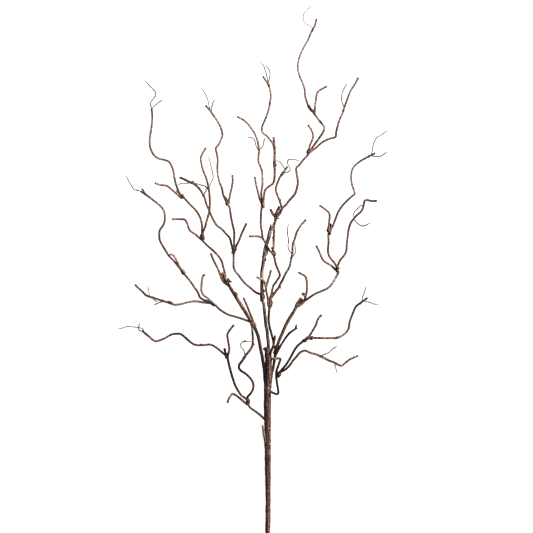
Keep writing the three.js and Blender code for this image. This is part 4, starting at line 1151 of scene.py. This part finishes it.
middleLeft = {
    "node": "middle_left",
    "limbs": [
        limb([63, 67, 76, 90], (-8, 428), (-13, 430), (-19, 432), (-25, 436), (-31, 441.5),
             (-39.5, 448.5), (-46, 456), (-52, 464), (-58.5, 472), (-61, 479), (-61, 488), (-61, 502),
             (-61, 512), shade=[-0.3, 0.05, 0.05, 0.05, 0.1], ash=[0.1, 0.4, 0.65, 0.6, 0.5]),
        limb([90, 96, 102, 100, 94, 90], (-61, 506), (-65, 520), (-68, 531), (-75, 539), (-82, 547),
             (-91, 553.5), (-96, 561), (-102, 573), (-105, 581), (-110, 592), (-113, 603), (-116, 609),
             (-120, 616.2), (-125, 622.2), (-130, 626.6), (-134, 629.4), (-140, 631.6), (-145, 634.2),
             (-151, 637.2), (-158, 640), size=[1, 1, 1, 1, 1, 1.2, 1.05],
             shade=[-0.05, -0.15, -0.08, 0, -0.1, -0.1, 0], ash=[0.3, 0.4, 0.4, 0.3, 0.3, 0.35, 0.1]),
        limb([90, 98, 108], (-60, 506), (-56, 517), (-51, 527), (-46, 540), (-38, 557), shade=[0, 0.08]),
        limb([92, 92.5], (-131.5, 629), (-134.6, 634), girths=[1.3, 1.1]),
    ],
    "lobes": [
        lobe([2.7, 3.6, 3.2, 2.1], 0, (-60.8, 512.5), (-60.6, 502.3), ash=0.5),
        lobe([2.4, 2.8, 2], 0, (-62, 506.5), (-63.3, 503.4), ash=0.2),
        lobe([1.8, 2.5, 1.8], -0.1, (-57.8, 514), (-57.2, 508), ash=0.3),
    ],
    "stainsAndLight": [
        stainAndLight(3, -0.2, (-64.5, 522), (-61, 511), (-56.5, 517)),
        stainAndLight(3, -0.3, (-24, 436), (-14, 431)),
        stainAndLight(1.4, -0.28, (-60.5, 516), (-60.5, 508)),
        stainAndLight(3, -0.18, (-64, 520), (-70, 533)),
        stainAndLight(2.5, 0.15, (-24, 436)),
    ],
    "bindings": [
        binding((-60.5, 507.5), 13, 7, ash=0.4),
    ],
    "wisps": [
        wisp(-3, (-138, 630.5), (-145, 629.5), (-154, 629.5), (-161, 627), size=0.88),
        wisp(3, (-132, 630), (-125, 628), (-118, 626), (-112.5, 625), size=1.12),
        wisp(3, (-114, 608), (-112.5, 613), (-110, 616), (-112, 619), size=1.2),
    ],
    "knots": [(-136, 632), (-114, 607)],
}
grow("middleLeft", middleLeft)

middleLeftTip = {
    "node": "middle_left_tip",
    "limbs": [
        limb([91.5, 98, 104], (-61, 508), (-60, 516), (-60, 527), (-60, 542), (-63, 556), (-66, 571),
             (-68, 585), (-71, 592), (-73, 597), ash=[0.4, 0.3, 0.3, 0.6]),
        limb([104, 110, 118, 130, 142], (-72, 593), (-76.5, 601), (-80, 610), (-82, 621), (-85, 628),
             (-88, 639), (-90, 652), (-90, 662), (-89.5, 671), (-91, 682), (-93, 691), (-92, 694),
             (-87, 700), (-84, 707), (-81, 715), (-82, 723), (-85, 732), (-89, 739.5), (-94.5, 748),
             (-98, 753), (-103.5, 760.5), (-111, 769), size=[1, 1, 0.94, 1, 1, 1, 1],
             shade=[0, -0.06, 0.24, 0.17, 0.08, -0.02, -0.15], ash=[0.3, 0.6, 0.4, 0.4, 0.6, 0.3, 0.3]),
        limb([104, 112, 124], (-71, 593), (-69, 600), (-67, 610), (-64, 623), (-62.5, 634), (-63, 643.5),
             shade=[0.3, 0.25, 0.1], ash=0.5),
    ],
    "lobes": [
        lobe([1.8, 2.1, 2.4, 2.3], 0.05, (-79.3, 606.8), (-76, 601), (-72.2, 594)),
        lobe([1.6, 2.1, 1.9], 0.11, (-68.8, 599.6), (-70.6, 590.6)),
        lobe([2, 2.3, 1.8], -0.1, (-74.3, 594.5), (-72.7, 589.5)),
        lobe([1.5, 2.3, 2], -0.02, (-78, 606), (-75, 601.5), (-73, 597)),
    ],
    "stainsAndLight": [
        stainAndLight(1.2, 0.3, (-71.5, 596.5), (-70, 591)),
        stainAndLight(3, -0.22, (-79, 608), (-82, 620)),
    ],
    "bindings": [
        binding((-71.5, 595), 10, 5.5),
    ],
    "wisps": [
        wisp(6, (-99, 758), (-100, 767), (-98, 774), (-95, 780)),
        wisp(9, (-100, 760), (-105, 769), (-107, 778), (-110, 786), (-114, 794), (-120, 802), size=0.85,
             shade=0.05),
    ],
    "knots": [(-98, 752)],
}
grow("middleLeftTip", middleLeftTip)

centreLow = {
    "node": "centre_low",
    "limbs": [
        limb([40, 47, 53, 59, 65], (4.5, 319), (6, 326), (9, 333), (11, 339), (10, 347), (8, 355),
             (6, 363), (4, 370), (2.5, 379), (2, 387), (2.7, 396), (3.6, 405), (4.5, 416),
             size=[1.12, 1, 1.08, 1], shade=[-0.05, 0, -0.12, 0]),
        limb([46, 53], (10.5, 336), (12.5, 347), (13.5, 355), girths=[1.9], shade=0.1),
        limb([65, 71, 78, 81], (3, 414), (1, 419), (0, 426), (-2, 434), (-3, 442), (-4.5, 448), (-6, 453),
             (-10, 456), (-15, 458.5), (-19.5, 461), shade=[0.05, 0.42]),
        limb([73.5, 80], (-3, 440), (-1, 448), (1, 455), (4, 464), (6, 473), shade=[0.12, 0.08]),
        limb([62.5, 67, 74, 83, 95], (5, 414), (7, 423), (11, 429), (15, 435), (21, 443), (23, 448),
             (27, 455), (32, 466), (37, 474), (40.5, 482), (42, 491), (44, 499), (45, 506), (45, 513),
             (46, 521), (49, 529), (53, 542), (59, 552), (69, 564), size=[1, 1.12, 1, 1, 1],
             shade=[0, 0.05, 0.1, 0.13, 0.18, 0.24], ash=[0.2, 0.2, 0.8, 0.3, 0.3, 0.3]),
        limb([64, 64], (5, 413), (10, 415), girths=[1.6, 1.3]),
    ],
    "lobes": [
        lobe([2.6, 3.3, 3.2, 2.7], 0.1, (4.4, 414), (4.6, 405.8)),
        lobe([1.8, 1.7], 0.11, (6, 416), (8.8, 414.3)),
        lobe([1.9, 2.3, 2], 0.07, (6.3, 421.5), (6.4, 416)),
        lobe([2, 2.9, 2.7, 1.9], 0.15, (2, 419), (2, 411), (3.8, 405.5)),
        lobe([2.2, 2.2, 1.6], 0, (6.5, 411), (7.5, 407.5)),
        lobe([2.4, 2.6, 2], 0.15, (5, 420), (7, 429)),
        lobe([1.1, 1.4, 1], -0.3, (38, 526.5), (38, 523.5), ash=0.1, rise=-0.8),
        lobe([1.8, 1.9, 1.8], 0.12, (20.5, 443), (24.2, 441.2)),
        lobe([2.2, 2.3], -0.1, (16.3, 439.6), (18.6, 437.4)),
        lobe([2.2, 2.2], -0.15, (10.8, 430.5), (12.4, 431.8)),
        lobe([1.4, 1.3], 0.15, (46.5, 499.6), (48, 498.4)),
    ],
    "stainsAndLight": [
        stainAndLight(2, 0.45, (6, 429), (7, 424)),
        stainAndLight(2, -0.2, (12, 431)),
        stainAndLight(1.5, -0.2, (4.5, 421)),
        stainAndLight(2, -0.15, (26, 452), (26.5, 455.5)),
        stainAndLight(2, -0.15, (21.5, 446.5)),
    ],
    "bindings": [
        binding((4.5, 411), 16, 6.5, tone=0.72),
    ],
    "wisps": [
        wisp(9, (43.5, 502), (40, 507), (38, 511), (37, 518), (38, 527), (36, 538), (36, 547), (38, 556)),
        wisp(4, (46, 499), (49.5, 503), (50, 509), (49.5, 517), (48, 522)),
    ],
    "knots": [(17, 438), (43.5, 497), (46, 521)],
}
grow("centreLow", centreLow)

centreRight = {
    "node": "centre_right",
    "limbs": [
        limb([67, 75, 84, 93, 102, 110], (4.5, 415), (5.5, 422), (7, 428), (8, 434), (9.5, 441),
             (11, 446), (14.5, 450.5), (18, 456), (21.5, 461), (22, 466), (19.5, 472.5), (16, 481),
             (13.5, 490), (12, 498), (10.5, 504), (9.8, 509), (10.8, 514.5), (11.2, 531), (12, 542),
             (12, 553), (14, 562), (16, 575), size=[1, 1.05, 1.05, 1, 1.12, 1.08],
             shade=[0.25, 0.17, 0, 0, 0, -0.15]),
        limb([109, 113], (14, 569), (9, 576), (5, 582.5), girths=[2.2], shade=-0.1),
        limb([110, 117], (15, 573), (17.5, 579.5), (21, 587.5), girths=[2]),
        limb([112, 119, 122, 126, 132], (17, 571), (22, 574.5), (25, 580), (26, 585), (23, 594),
             (20, 603), (17, 610), (15, 619), (16.5, 626), (20.4, 636), (24.9, 644.4), (30, 650.8),
             (33, 655.2), (35.8, 659.2), shade=0.12, ash=[0.3, 0.3, 0.5, 0.7]),
        limb([106.5, 105.5, 104], (12.4, 560), (9.9, 555.5), (9.3, 550), (9.2, 544),
             girths=[0.9, 1.3, 1.3, 1], shade=0.3, ash=0.8),
        limb([110, 109], (17, 568.5), (20.3, 566.3), girths=[1.8, 1.2]),
        limb([120, 120.5], (22, 598), (24.5, 600), girths=[1.5, 1]),
    ],
    "lobes": [
        lobe([2.2, 3.7, 3.8, 2.2], 0.03, (9.4, 508.5), (11, 504), (12.4, 498), rise=1),
        lobe([2.2, 3, 2.4], 0.03, (8.5, 504.8), (12.5, 500.5)),
        lobe([1.8, 1.8], 0.3, (17.5, 576), (19.8, 578)),
        lobe([1.3, 1.3], 0.22, (20.5, 581.5), (23, 583), ash=0.6),
        lobe([1.5, 1.4], 0.25, (22, 586), (25, 587)),
        lobe([1.4, 1.6], -1.1, (10.6, 531.6), (8.8, 531.6)),
        lobe([1.3, 1.2], 0.1, (9.3, 510), (8.4, 512.2)),
        lobe([1.8, 2.4, 2, 1.4], 0.15, (26, 643.5), (28, 646.5), (30.5, 648.6), ash=0.5),
        lobe([1.3, 1.8], -1.1, (8.6, 512.4), (6.8, 513.3)),
    ],
    "stainsAndLight": [
        stainAndLight(2.5, -0.25, (12.5, 571)),
        stainAndLight(1.8, 0.25, (17.5, 572), (18, 567.5)),
        stainAndLight(1.5, 0.3, (20.5, 566.5), ash=0.5),
        stainAndLight(2, 0.15, (24.5, 581)),
        stainAndLight(2, 0.2, (10.9, 511.5), (11, 523)),
        stainAndLight(1.8, -0.15, (33.5, 656)),
        stainAndLight(2, -0.1, (29, 651)),
        stainAndLight(1.6, 0.35, (9.2, 545.5), ash=0.3),
    ],
    "bindings": [
        binding((11, 503), 13, 6.5),
        binding((15.5, 572), 20, 11),
        binding((27, 647), 9, 5),
    ],
    "wisps": [
        wisp(5, (31, 654), (28, 660), (24, 666), (20.5, 669), (15.5, 670)),
        wisp(8, (28.5, 648.5), (33.5, 648.3), (37, 650), (40.6, 652.6), (40.6, 656), (38.6, 660.5),
             (36.1, 665), (36.2, 669), (38.4, 672), (42.5, 672.6), (49, 672.2), (53, 671), (57, 670.5)),
    ],
}
grow("centreRight", centreRight)

centreLeft = {
    "node": "centre_left",
    "limbs": [
        limb([95.5, 102, 109, 116], (9, 503), (3.5, 509), (-1, 517), (-4.5, 524), (-8.5, 531), (-10, 542),
             (-12, 554), (-12, 567), (-11, 581), (-9, 596), shade=[0, -0.05, 0, 0.05]),
        limb([101.5, 104], (-8, 529), (-12, 532.5), (-17, 534), (-22.5, 534), (-33, 534), shade=[0, 0.15],
             ash=0.5),
        limb([115.5, 114, 112], (-9.5, 592), (-12.2, 597), (-14.6, 602), (-15.6, 607), (-17.6, 615),
             (-21, 630), (-22.5, 641), size=0.93, shade=[-0.2, 0.05, 0.2]),
        limb([114.5, 118, 127, 138, 150], (-9.5, 594), (-11, 606), (-11, 614), (-9, 626), (-9, 639),
             (-9.5, 650), (-13, 660), (-16, 668), (-16, 680), (-15, 688), (-16, 695), (-18, 706),
             (-22.5, 718), (-28, 727), (-36, 737), (-43, 743), (-54, 749),
             shade=[0, 0.03, 0.15, 0.1, 0.3, 0.2, 0.2], ash=[0, 0.6, 0.3, 0.5, 0.5, 0.35, 0.4]),
    ],
    "lobes": [
        lobe([1.9, 2.7, 2.9, 2.2], 0.16, (-7.7, 600), (-7.6, 592), (-7.6, 585)),
    ],
    "stainsAndLight": [
        stainAndLight(1.8, 0.2, (-7.5, 608), (-7, 592)),
        stainAndLight(1.3, -0.2, (-12, 597), (-10.5, 590)),
        stainAndLight(2.5, -0.2, (-3, 520), (5, 508)),
        stainAndLight(2, -0.12, (-6.3, 586), (-8, 583)),
    ],
    "bindings": [
        binding((-8.8, 590.5), 13, 6, tone=0.7),
    ],
    "wisps": [
        wisp(5, (-16, 689), (-19.5, 694), (-21.8, 702), (-24, 708), (-29, 711.5), (-36, 711)),
        wisp(5, (-14, 689), (-9, 695), (-7, 700), (-6, 707), (-4.5, 711)),
    ],
    "knots": [(-15, 687)],
}
grow("centreLeft", centreLeft)

centreTop = {
    "node": "centre_top",
    "limbs": [
        limb([119, 123, 128, 134], (-8, 592), (-7, 600), (-6, 608), (-4.5, 616.5), (-1, 621), (5, 625.5),
             (10, 629), (12, 635), (13, 650), (12.6, 671), (13, 684), (12.5, 695), (12, 702), (11, 712),
             size=[1, 1.05, 1.15, 1.25, 1.15], shade=[0.1, 0.02, 0, 0, 0], ash=[0.1, 0.25, 0.2]),
        limb([133, 146, 160, 176], (12.5, 693), (10, 700), (4.5, 708), (-2, 715), (-8, 720), (-10, 725),
             (-9, 733), (-5, 742), (-1, 752), (3, 765), (4.5, 774), (6, 785), (5, 796), (2, 805.5),
             (-2, 812), (-8, 821), shade=[-0.13, 0, 0.05, 0.1, 0.1], ash=[0.8, 0.6, 0.6, 0.5, 0.6]),
    ],
    "lobes": [
        lobe([1.4, 1.5], -0.3, (12.4, 661), (10.9, 658.3)),
        lobe([1.6, 1.7], 0.1, (14.6, 663), (15.6, 660.5)),
    ],
    "stainsAndLight": [
        stainAndLight(1.5, -0.25, (10.8, 671), (11.2, 666)),
    ],
    "bindings": [
        binding((13.4, 665), 13, 6.5, tone=0.72),
        binding((12, 695), 9, 5.5),
    ],
    "wisps": [
        wisp(8, (2, 809), (-1, 821), (-4, 832), (-7, 840), (-13, 846)),
        wisp(12, (3, 808), (4.5, 823), (4, 830), (-3, 841.5)),
    ],
    "knots": [(2, 806), (4, 773)],
}
grow("centreTop", centreTop)

highRight = {
    "node": "high_right",
    "limbs": [
        limb([107.5, 110, 117, 126], (17, 569), (20, 575), (24, 580), (28, 586), (33, 590.4), (38, 597.2),
             (44, 603.8), (49, 609.6), (51.7, 616), (53.2, 622), (54.6, 629), (54, 639), (52, 650),
             (52, 657), (57, 662), (64, 671), (73, 681), (75, 687), size=[1, 1.14, 1.1, 1, 1],
             shade=[0, -0.06, 0, 0, 0.07], ash=0.3),
        limb([125, 130, 136], (74, 684), (76, 697), (80, 706), (82, 713), (81, 720), (78, 727), (73, 734),
             size=0.95, shade=[0.05, 0.1]),
        limb([124.5, 124, 130, 138, 146], (74, 683), (80, 688), (87, 693), (94.5, 700), (103.5, 706),
             (112.5, 709.8), (119.5, 711.5), (122.7, 713.2), (123.2, 718), (124.3, 725), (126.7, 734),
             (130.5, 746), (135, 755), (138, 765), (141, 773.5), (145, 784.5), (150, 796.5), (157.5, 808),
             (163, 819), size=[1, 1, 1.08, 1, 1, 1, 1], shade=[0.2, -0.1, -0.14, 0.02, 0, 0.05, -0.3],
             ash=[0, 0.4, 0.3, 0.4, 0.3, 0.5, 0.7]),
    ],
    "lobes": [
        lobe([1.5, 2, 1.7], 0.17, (77.4, 689.3), (74.6, 684)),
        lobe([2, 1.6], 0.09, (73.4, 683), (71.8, 680.6)),
        lobe([1.8, 2.2, 1.7], -0.1, (72.3, 689.5), (72, 682)),
        lobe([1.7, 2, 1.6], 0.2, (77, 687.5), (77.8, 684)),
    ],
    "stainsAndLight": [
        stainAndLight(1.6, 0.3, (76, 687)),
        stainAndLight(2, -0.1, (88, 694), (98, 702)),
    ],
    "bindings": [
        binding((74, 685), 11, 5.5),
    ],
    "wisps": [
        wisp(7, (137, 766), (134, 776), (133, 785), (136, 796), (143, 809)),
    ],
    "knots": [(137, 760)],
}
grow("highRight", highRight)

highTop = {
    "node": "high_top",
    "limbs": [
        limb([128, 140, 150], (74, 686), (79, 691.5), (84, 698), (91, 708), (98, 718), (102, 726),
             (102, 731), (98, 736), (91, 745), (84, 755), (78, 763), size=[1, 1.12, 1.03, 1.1],
             shade=[0.2, -0.05, 0.26, -0.26], ash=[0.1, 0.2, 0.25, 0.4]),
        limb([150, 158, 168, 182], (81, 758), (75, 765), (72, 772), (68, 785), (67, 797), (64, 808),
             (59, 819), (56, 828), (54.5, 839), (56, 850), (59, 860), (65, 873), (73, 887), (78, 899),
             (81, 905), (85, 912), (87, 920), (88, 924), shade=[0.03, -0.04, 0.05, 0.15, 0.1, 0.05, 0],
             ash=[0.3, 0.35, 0.55, 0.45, 0.65, 0.6, 0.3]),
        limb([150, 153, 160], (84.3, 754), (85.2, 760), (85.6, 768), (87.2, 780), (89, 791), (92, 795),
             (96.5, 798), (106.5, 803.5), ash=0.5),
        limb([151, 152], (74, 766), (76, 770), girths=[1.6, 1.3]),
        limb([146, 147.5], (99, 735), (94, 741), girths=[1.6, 2.2]),
    ],
    "lobes": [
        lobe([1.8, 2.1, 1.8], 0.1, (75.5, 768), (76.8, 764)),
        lobe([1.8, 2.3, 2], -0.1, (80.8, 761.5), (78.5, 759.5)),
        lobe([1.5, 1.9], 0, (82.7, 752.8), (84, 756)),
    ],
    "stainsAndLight": [
        stainAndLight(1.8, -0.15, (73, 766.5), (78, 760), (83, 756)),
        stainAndLight(1.5, 0.2, (76, 769)),
        stainAndLight(2, 0.35, (85.3, 757.5), (85.8, 769)),
    ],
    "bindings": [
        binding((79, 760.5), 18, 6.5, tone=0.5),
    ],
    "wisps": [
        wisp(10, (82, 906), (76.5, 912), (69, 916), (65, 922), (64, 928), (66, 935), (70, 940),
             (74.5, 944), (79, 947), size=0.75, shade=0.15),
    ],
    "knots": [(81, 904)],
}
grow("highTop", highTop)

rightSide = {
    "node": "right_side",
    "limbs": [
        limb([72, 60, 44, 30], (61, 415), (67.5, 418), (76.5, 424.5), (87, 431), (100, 436.5), (109, 441),
             (116, 448), (122, 458), (127, 468), (126, 477), size=[1, 1, 1.1, 1.2],
             shade=[0, 0, 0.2, -0.04], ash=[0.3, 0.4, 0.6, 0.6]),
        limb([30, 36, 44], (126, 471), (115, 481.5), (107, 486), (101, 490.5), (97, 497), (94, 505),
             (88, 517), shade=[0.12, 0.02]),
        limb([29, 22, 10, 1.2, 1.2], (125, 474), (127, 481.5), (131, 491), (139, 501), (142, 508),
             (143, 520), (145, 536), (147, 549), (151, 559.5), (155, 565), (161, 572), (169, 579),
             (172.2, 585.5), (173.8, 592), (175, 597.6), (176.4, 599.2), (181, 599.5), (188, 598),
             (197, 598), shade=[0, -0.07, 0, -0.18, -0.1, -0.08], ash=[0.5, 0.4, 0.35, 0.4, 0.45, 0.2]),
    ],
    "lobes": [
        lobe([1.9, 2.3, 2.3], 0, (115.3, 480.8), (123.3, 473.2)),
        lobe([1.7, 1.8], 0.14, (125.8, 474.6), (129.3, 476.8)),
        lobe([1.6, 1.5], 0.14, (125.8, 469.8), (129.3, 468.7)),
        lobe([2.1, 2], -0.4, (124, 473.5), (125, 471)),
        lobe([1.9, 1.9], 0.1, (127, 476), (129.6, 476.2)),
        lobe([1.8, 1.7], 0.1, (127.5, 469.6), (129.6, 469)),
    ],
    "stainsAndLight": [
        stainAndLight(2, -0.25, (121.5, 475.5), (124.5, 471)),
        stainAndLight(1.4, 0.3, (127.3, 473.5)),
        stainAndLight(3, -0.28, (71, 421.5), (79, 426.5)),
        stainAndLight(3, -0.2, (109, 499), (118, 489)),
        stainAndLight(3, 0.1, (124, 464), (118, 452)),
    ],
    "bindings": [
        binding((125, 472.5), 10, 5.5),
    ],
    "wisps": [
        wisp(6, (155.5, 568), (155, 573), (157.2, 578.5), (163, 584.5), (168, 589.4), (173, 590.6)),
        wisp(3, (155, 565), (163, 557), (170, 553), (177, 554), (184.5, 558), size=1.15, shade=-0.1),
    ],
    "knots": [(154, 565)],
}
grow("rightSide", rightSide)

rightSideTip = {
    "node": "right_side_tip",
    "limbs": [
        limb([32, 44, 56], (126, 473), (124, 480), (121, 486), (115, 493), (111, 499), (109, 508),
             (110, 522), (110, 536), (111, 549), shade=[-0.05, -0.05, 0], ash=0.25),
        limb([56, 62, 70], (110, 543), (111, 558), (112, 571), (111, 576), (105, 582), (94, 589.5),
             shade=[0.08, -0.02], ash=[0.2, 0.6]),
        limb([56, 60, 66, 76, 90], (112, 543), (118, 553.5), (122, 564), (127, 577), (134, 588),
             (143, 598), (152, 606), (157, 610.5), (156, 616), (153, 625), (151, 635), (151, 646),
             (153, 655), (159, 663), (168, 670), (177, 675), (184, 679), (193.5, 683.5),
             size=[1, 1, 1, 1, 0.93, 1, 1], shade=[0.1, 0, -0.16, 0.1, 0.18, 0.05, 0],
             ash=[0.2, 0.2, 0.6, 0.4, 0.3, 0.6, 0.4]),
        limb([57, 60], (113, 546), (114.4, 556.7), girths=[1.4, 1.5], shade=-0.4),
    ],
    "lobes": [
        lobe([1.7, 2.1, 2.2, 1.9], 0.02, (109.2, 551.5), (110.4, 540)),
        lobe([1.3, 1.7, 2, 1.7], 0.09, (114.8, 554.5), (113, 540)),
        lobe([1.7, 2.3, 1.7], -0.1, (108.8, 547), (108, 542.5)),
        lobe([1.9, 2.1, 1.6], 0, (112.5, 541.5), (113.4, 538)),
    ],
    "stainsAndLight": [
        stainAndLight(1.7, -0.35, (108, 543), (109, 552)),
        stainAndLight(1.1, 0.3, (111.6, 551), (112, 543), ash=0.4),
        stainAndLight(1.4, 0.25, (114.5, 550), (113.8, 543)),
        stainAndLight(3, 0.12, (110, 533), (110, 520)),
    ],
    "bindings": [
        binding((111, 540), 12, 5.5),
    ],
    "wisps": [
        wisp(10, (186, 681), (189, 689), (190, 697.5), (193.5, 706.5), (197, 712), (204, 716),
             (216, 724.5)),
        wisp(4, (184.5, 679), (193.5, 678), (202.5, 678), (208, 681), (215, 686), size=1.12, shade=-0.05),
    ],
    "knots": [(184, 678)],
}
grow("rightSideTip", rightSideTip)

lowerRight = {
    "node": "lower_right",
    "limbs": [
        limb([18, 18, 21, 24], (2, 256), (6, 254), (12, 251), (17.3, 249.6), (19.4, 251.2), (19.2, 257.4),
             (17.6, 266.5), (16.4, 275), (15.9, 282), (16, 290), shade=[-0.35, -0.25]),
        limb([25, 31, 36, 37.5, 38.5], (16, 286), (16.2, 291.5), (18.7, 298.6), (21.8, 308),
             (23.4, 312.8), (21.8, 313.9), (14, 313.7), (8, 313.5), shade=[0.05, 0, 0, 0.1, 0.4]),
        limb([24, 18, 10, 3, 1.2, 1.2, 8], (18, 285.5), (24, 289.5), (31.5, 293.5), (39, 300), (46, 310),
             (53.5, 318.5), (58, 324), (66, 328), (70, 327.5), (78, 324), (89, 321), (98, 317),
             (109, 311), (120, 307), (127, 303), (134, 301), (139.5, 305), (148, 312), (154, 315),
             (163, 318.6), shade=[0, 0, 0.03, 0.05, -0.03, 0.2, 0.36]),
    ],
    "lobes": [
        lobe([2.2, 3.6, 3.3, 1.9], -0.05, (18, 289), (21, 285.5), (19.3, 279.8)),
        lobe([2.4, 2.4, 1.8], -0.15, (21, 287), (24, 290.5)),
        lobe([1, 1.5, 1.1], -0.15, (118.8, 332), (123.4, 334.6), ash=0.1, rise=4),
    ],
    "stainsAndLight": [
        stainAndLight(2, -0.3, (22, 306), (24, 311)),
        stainAndLight(1.6, -0.6, (8.5, 313.5)),
        stainAndLight(2, 0.5, (103, 312.8), ash=0.7),
        stainAndLight(3, 0.12, (64, 328), (70, 328), (80, 324), (90, 321)),
        stainAndLight(3, -0.2, (29, 292), (40, 302)),
    ],
    "bindings": [
        binding((18.3, 286), 10, 5.5, tone=0.35),
        binding((103, 314.3), 18, 3.8),
    ],
    "wisps": [
        wisp(5, (96, 319.5), (103, 321.5), (110, 324.3), (113.5, 326.5), (117, 331), (121, 333.5),
             (126, 336), size=1.1),
        wisp(3, (120, 306), (122.8, 298), (124.6, 291), (125.8, 285), size=0.8, shade=0.05),
    ],
}
grow("lowerRight", lowerRight)

lowerRightTip = {
    "node": "lower_right_tip",
    "limbs": [
        limb([25.5, 25, 22], (19, 285.5), (26, 294), (33, 302), (40.5, 314), (47.5, 327), (54, 336.5),
             (60.5, 342), (67, 347), (73, 349.5), shade=-0.1),
        limb([22, 28, 36], (69, 347), (77.5, 357.5), (82, 365), (87, 373.5), (90, 382.5), (93, 388),
             (97.6, 392), shade=0.1, ash=0.5),
        limb([21.5, 12, 4, 1.2, 4, 12], (69, 349), (76, 350.5), (87, 351), (103.5, 350.5), (118, 351),
             (124, 351), (134, 354.6), (141, 360), (146, 367), (148.5, 380), (152, 390), (156, 400),
             (160, 408), (168, 414), (174, 418.5), (180, 423),
             shade=[-0.1, -0.08, 0.32, 0.1, -0.16, -0.08], ash=[0.1, 0.4, 0.4, 0.4, 0.8, 0.7]),
    ],
    "lobes": [
        lobe([2.6, 3.6, 2.6], 0, (64.8, 344.7), (70.2, 348.7)),
        lobe([2, 3.3, 2.6], 0.02, (75.6, 350.1), (81.9, 351.9)),
        lobe([2.6, 3.6, 2.8], -0.1, (76.5, 350.3), (80.3, 351)),
        lobe([1.9, 1.8], 0.1, (79.5, 352), (82.3, 353.3)),
        lobe([2, 1.6], -0.1, (78, 349.5), (79.5, 347.8)),
        lobe([2.3, 2.2, 1.5], -0.1, (66, 347), (69, 344.6)),
        lobe([2.2, 1.8], -0.1, (69.5, 349.5), (71.5, 352.2)),
        lobe([2, 1.7], -0.1, (64.5, 345.5), (63.7, 348)),
    ],
    "stainsAndLight": [
        stainAndLight(3, -0.15, (62, 344), (68, 346.5), (72, 350)),
        stainAndLight(2.4, -0.2, (77, 350), (80, 351)),
        stainAndLight(1.5, 0.25, (82, 352.5)),
        stainAndLight(3, -0.22, (26, 292), (35, 304)),
    ],
    "bindings": [
        binding((69, 348), 12, 5.5),
        binding((124, 351), 7, 4.4),
    ],
    "wisps": [
        wisp(6, (169, 417), (172, 426), (175, 434), (177, 443)),
        wisp(4, (173, 418), (184.5, 415), (192.6, 412), (200.7, 411.7)),
    ],
    "knots": [(169, 415)],
}
grow("lowerRightTip", lowerRightTip)

coreWire = {
    "path": [(0.5, -9.6), (0.5, 20), (0.5, 59), (0, 113), (0, 150), (0, 185)],
    "lift": [4.2, 4.3, 6.4, 10, 14],
    "pace": 1.5,
    "girth": 1.6,
    "sides": 28,
    "seed": 2,
}
drawn = dict(threadWrap, lumps=0, toneSpread=0)
core = Shell()
coreRoute = limbRoute(coreWire["path"], coreWire["lift"], coreWire["pace"])
rod(core, coreRoute, [coreWire["girth"]], coreWire["sides"], drawn, coreWire["seed"])
put("coreWire", core, steel, "stem_wire")
print("core wire", core.count)

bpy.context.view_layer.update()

studio = {
    "focal": 1500,  # mm, so long that the view is all but parallel
    "sensor": 36,
    "imageSide": 533,
    "millimetresPerPixel": 1.8,
    "middle": (-1.8, 479.7),  # the place under the camera, in the branch's own millimetres
    "sharpHeight": 0.09,  # height at which a pixel is exactly that size
    "clip": (1, 20),  # metres, the second beyond the floor
    "keyPlace": (3.7, 3.1, 5.0),
    "keySize": 3.6,
    "keyPower": 1150,
    "roomLight": 0.28,
    "contrast": 0.75,
    "floorSide": 60,
    "floorDrop": 0.0002,
    "floorStops": [(0.2, (0.85, 0.85, 0.85)), (0.8, (0.88, 0.88, 0.88))],
    "floorCloud": (3, 3, 3),
    "floorRoughness": 0.9,
    "floorGlow": 1.2,
    "glowShare": 0.8,
}


def floorMaterial():
    shade = Shade("paleFloor")
    place = shade.node("ShaderNodeTexCoord", None, None, "Object")
    cloud = shade.noise(place, studio["floorCloud"], detail=2, roughness=0.5)
    card = {"Base Color": shade.ramp(studio["floorStops"], cloud), "Roughness": studio["floorRoughness"]}
    card = shade.node("ShaderNodeBsdfPrincipled", None, card)
    glow = shade.node("ShaderNodeEmission", None, {"Color": (1, 1, 1, 1), "Strength": studio["floorGlow"]})
    return shade.finish(shade.node("ShaderNodeMixShader", None, {0: studio["glowShare"], 1: card, 2: glow}))


world = bpy.data.worlds.new("softRoom")
world.use_nodes = True
room = world.node_tree.nodes["Background"].inputs
room["Color"].default_value = (1, 1, 1, 1)
room["Strength"].default_value = studio["roomLight"]
bpy.context.scene.world = world

key = bpy.data.objects.new("keyLight", bpy.data.lights.new("keyLight", "AREA"))
key.data.shape = "DISK"
key.data.size = studio["keySize"]
key.data.energy = studio["keyPower"]
key.location = studio["keyPlace"]
key.rotation_euler = key.location.to_track_quat("Z", "Y").to_euler()
bpy.context.scene.collection.objects.link(key)

half = studio["floorSide"] / 2
ground = bpy.data.meshes.new("floor")
corners = [(-half, -half, 0), (half, -half, 0), (half, half, 0), (-half, half, 0)]
ground.from_pydata(corners, [], [(0, 1, 2, 3)])
ground.materials.append(floorMaterial())
floor = bpy.data.objects.new("floor", ground)
floor.location.z = -studio["floorDrop"]
bpy.context.scene.collection.objects.link(floor)

camera = bpy.data.objects.new("camera", bpy.data.cameras.new("camera"))
camera.data.lens = studio["focal"]
camera.data.sensor_width = studio["sensor"]
shown = studio["imageSide"] * studio["millimetresPerPixel"] / 1000
away = shown * studio["focal"] / studio["sensor"]
middleX, middleY = ((place + shift) / 1000 for place, shift in zip(studio["middle"], layout["shift"]))
camera.location = (middleX, middleY, studio["sharpHeight"] + away)
camera.data.clip_start = studio["clip"][0]
camera.data.clip_end = away + studio["clip"][1]
bpy.context.scene.collection.objects.link(camera)
bpy.context.scene.camera = camera
bpy.context.scene.view_settings.view_transform = "Standard"
bpy.context.scene.view_settings.gamma = studio["contrast"]

print("studio ready")
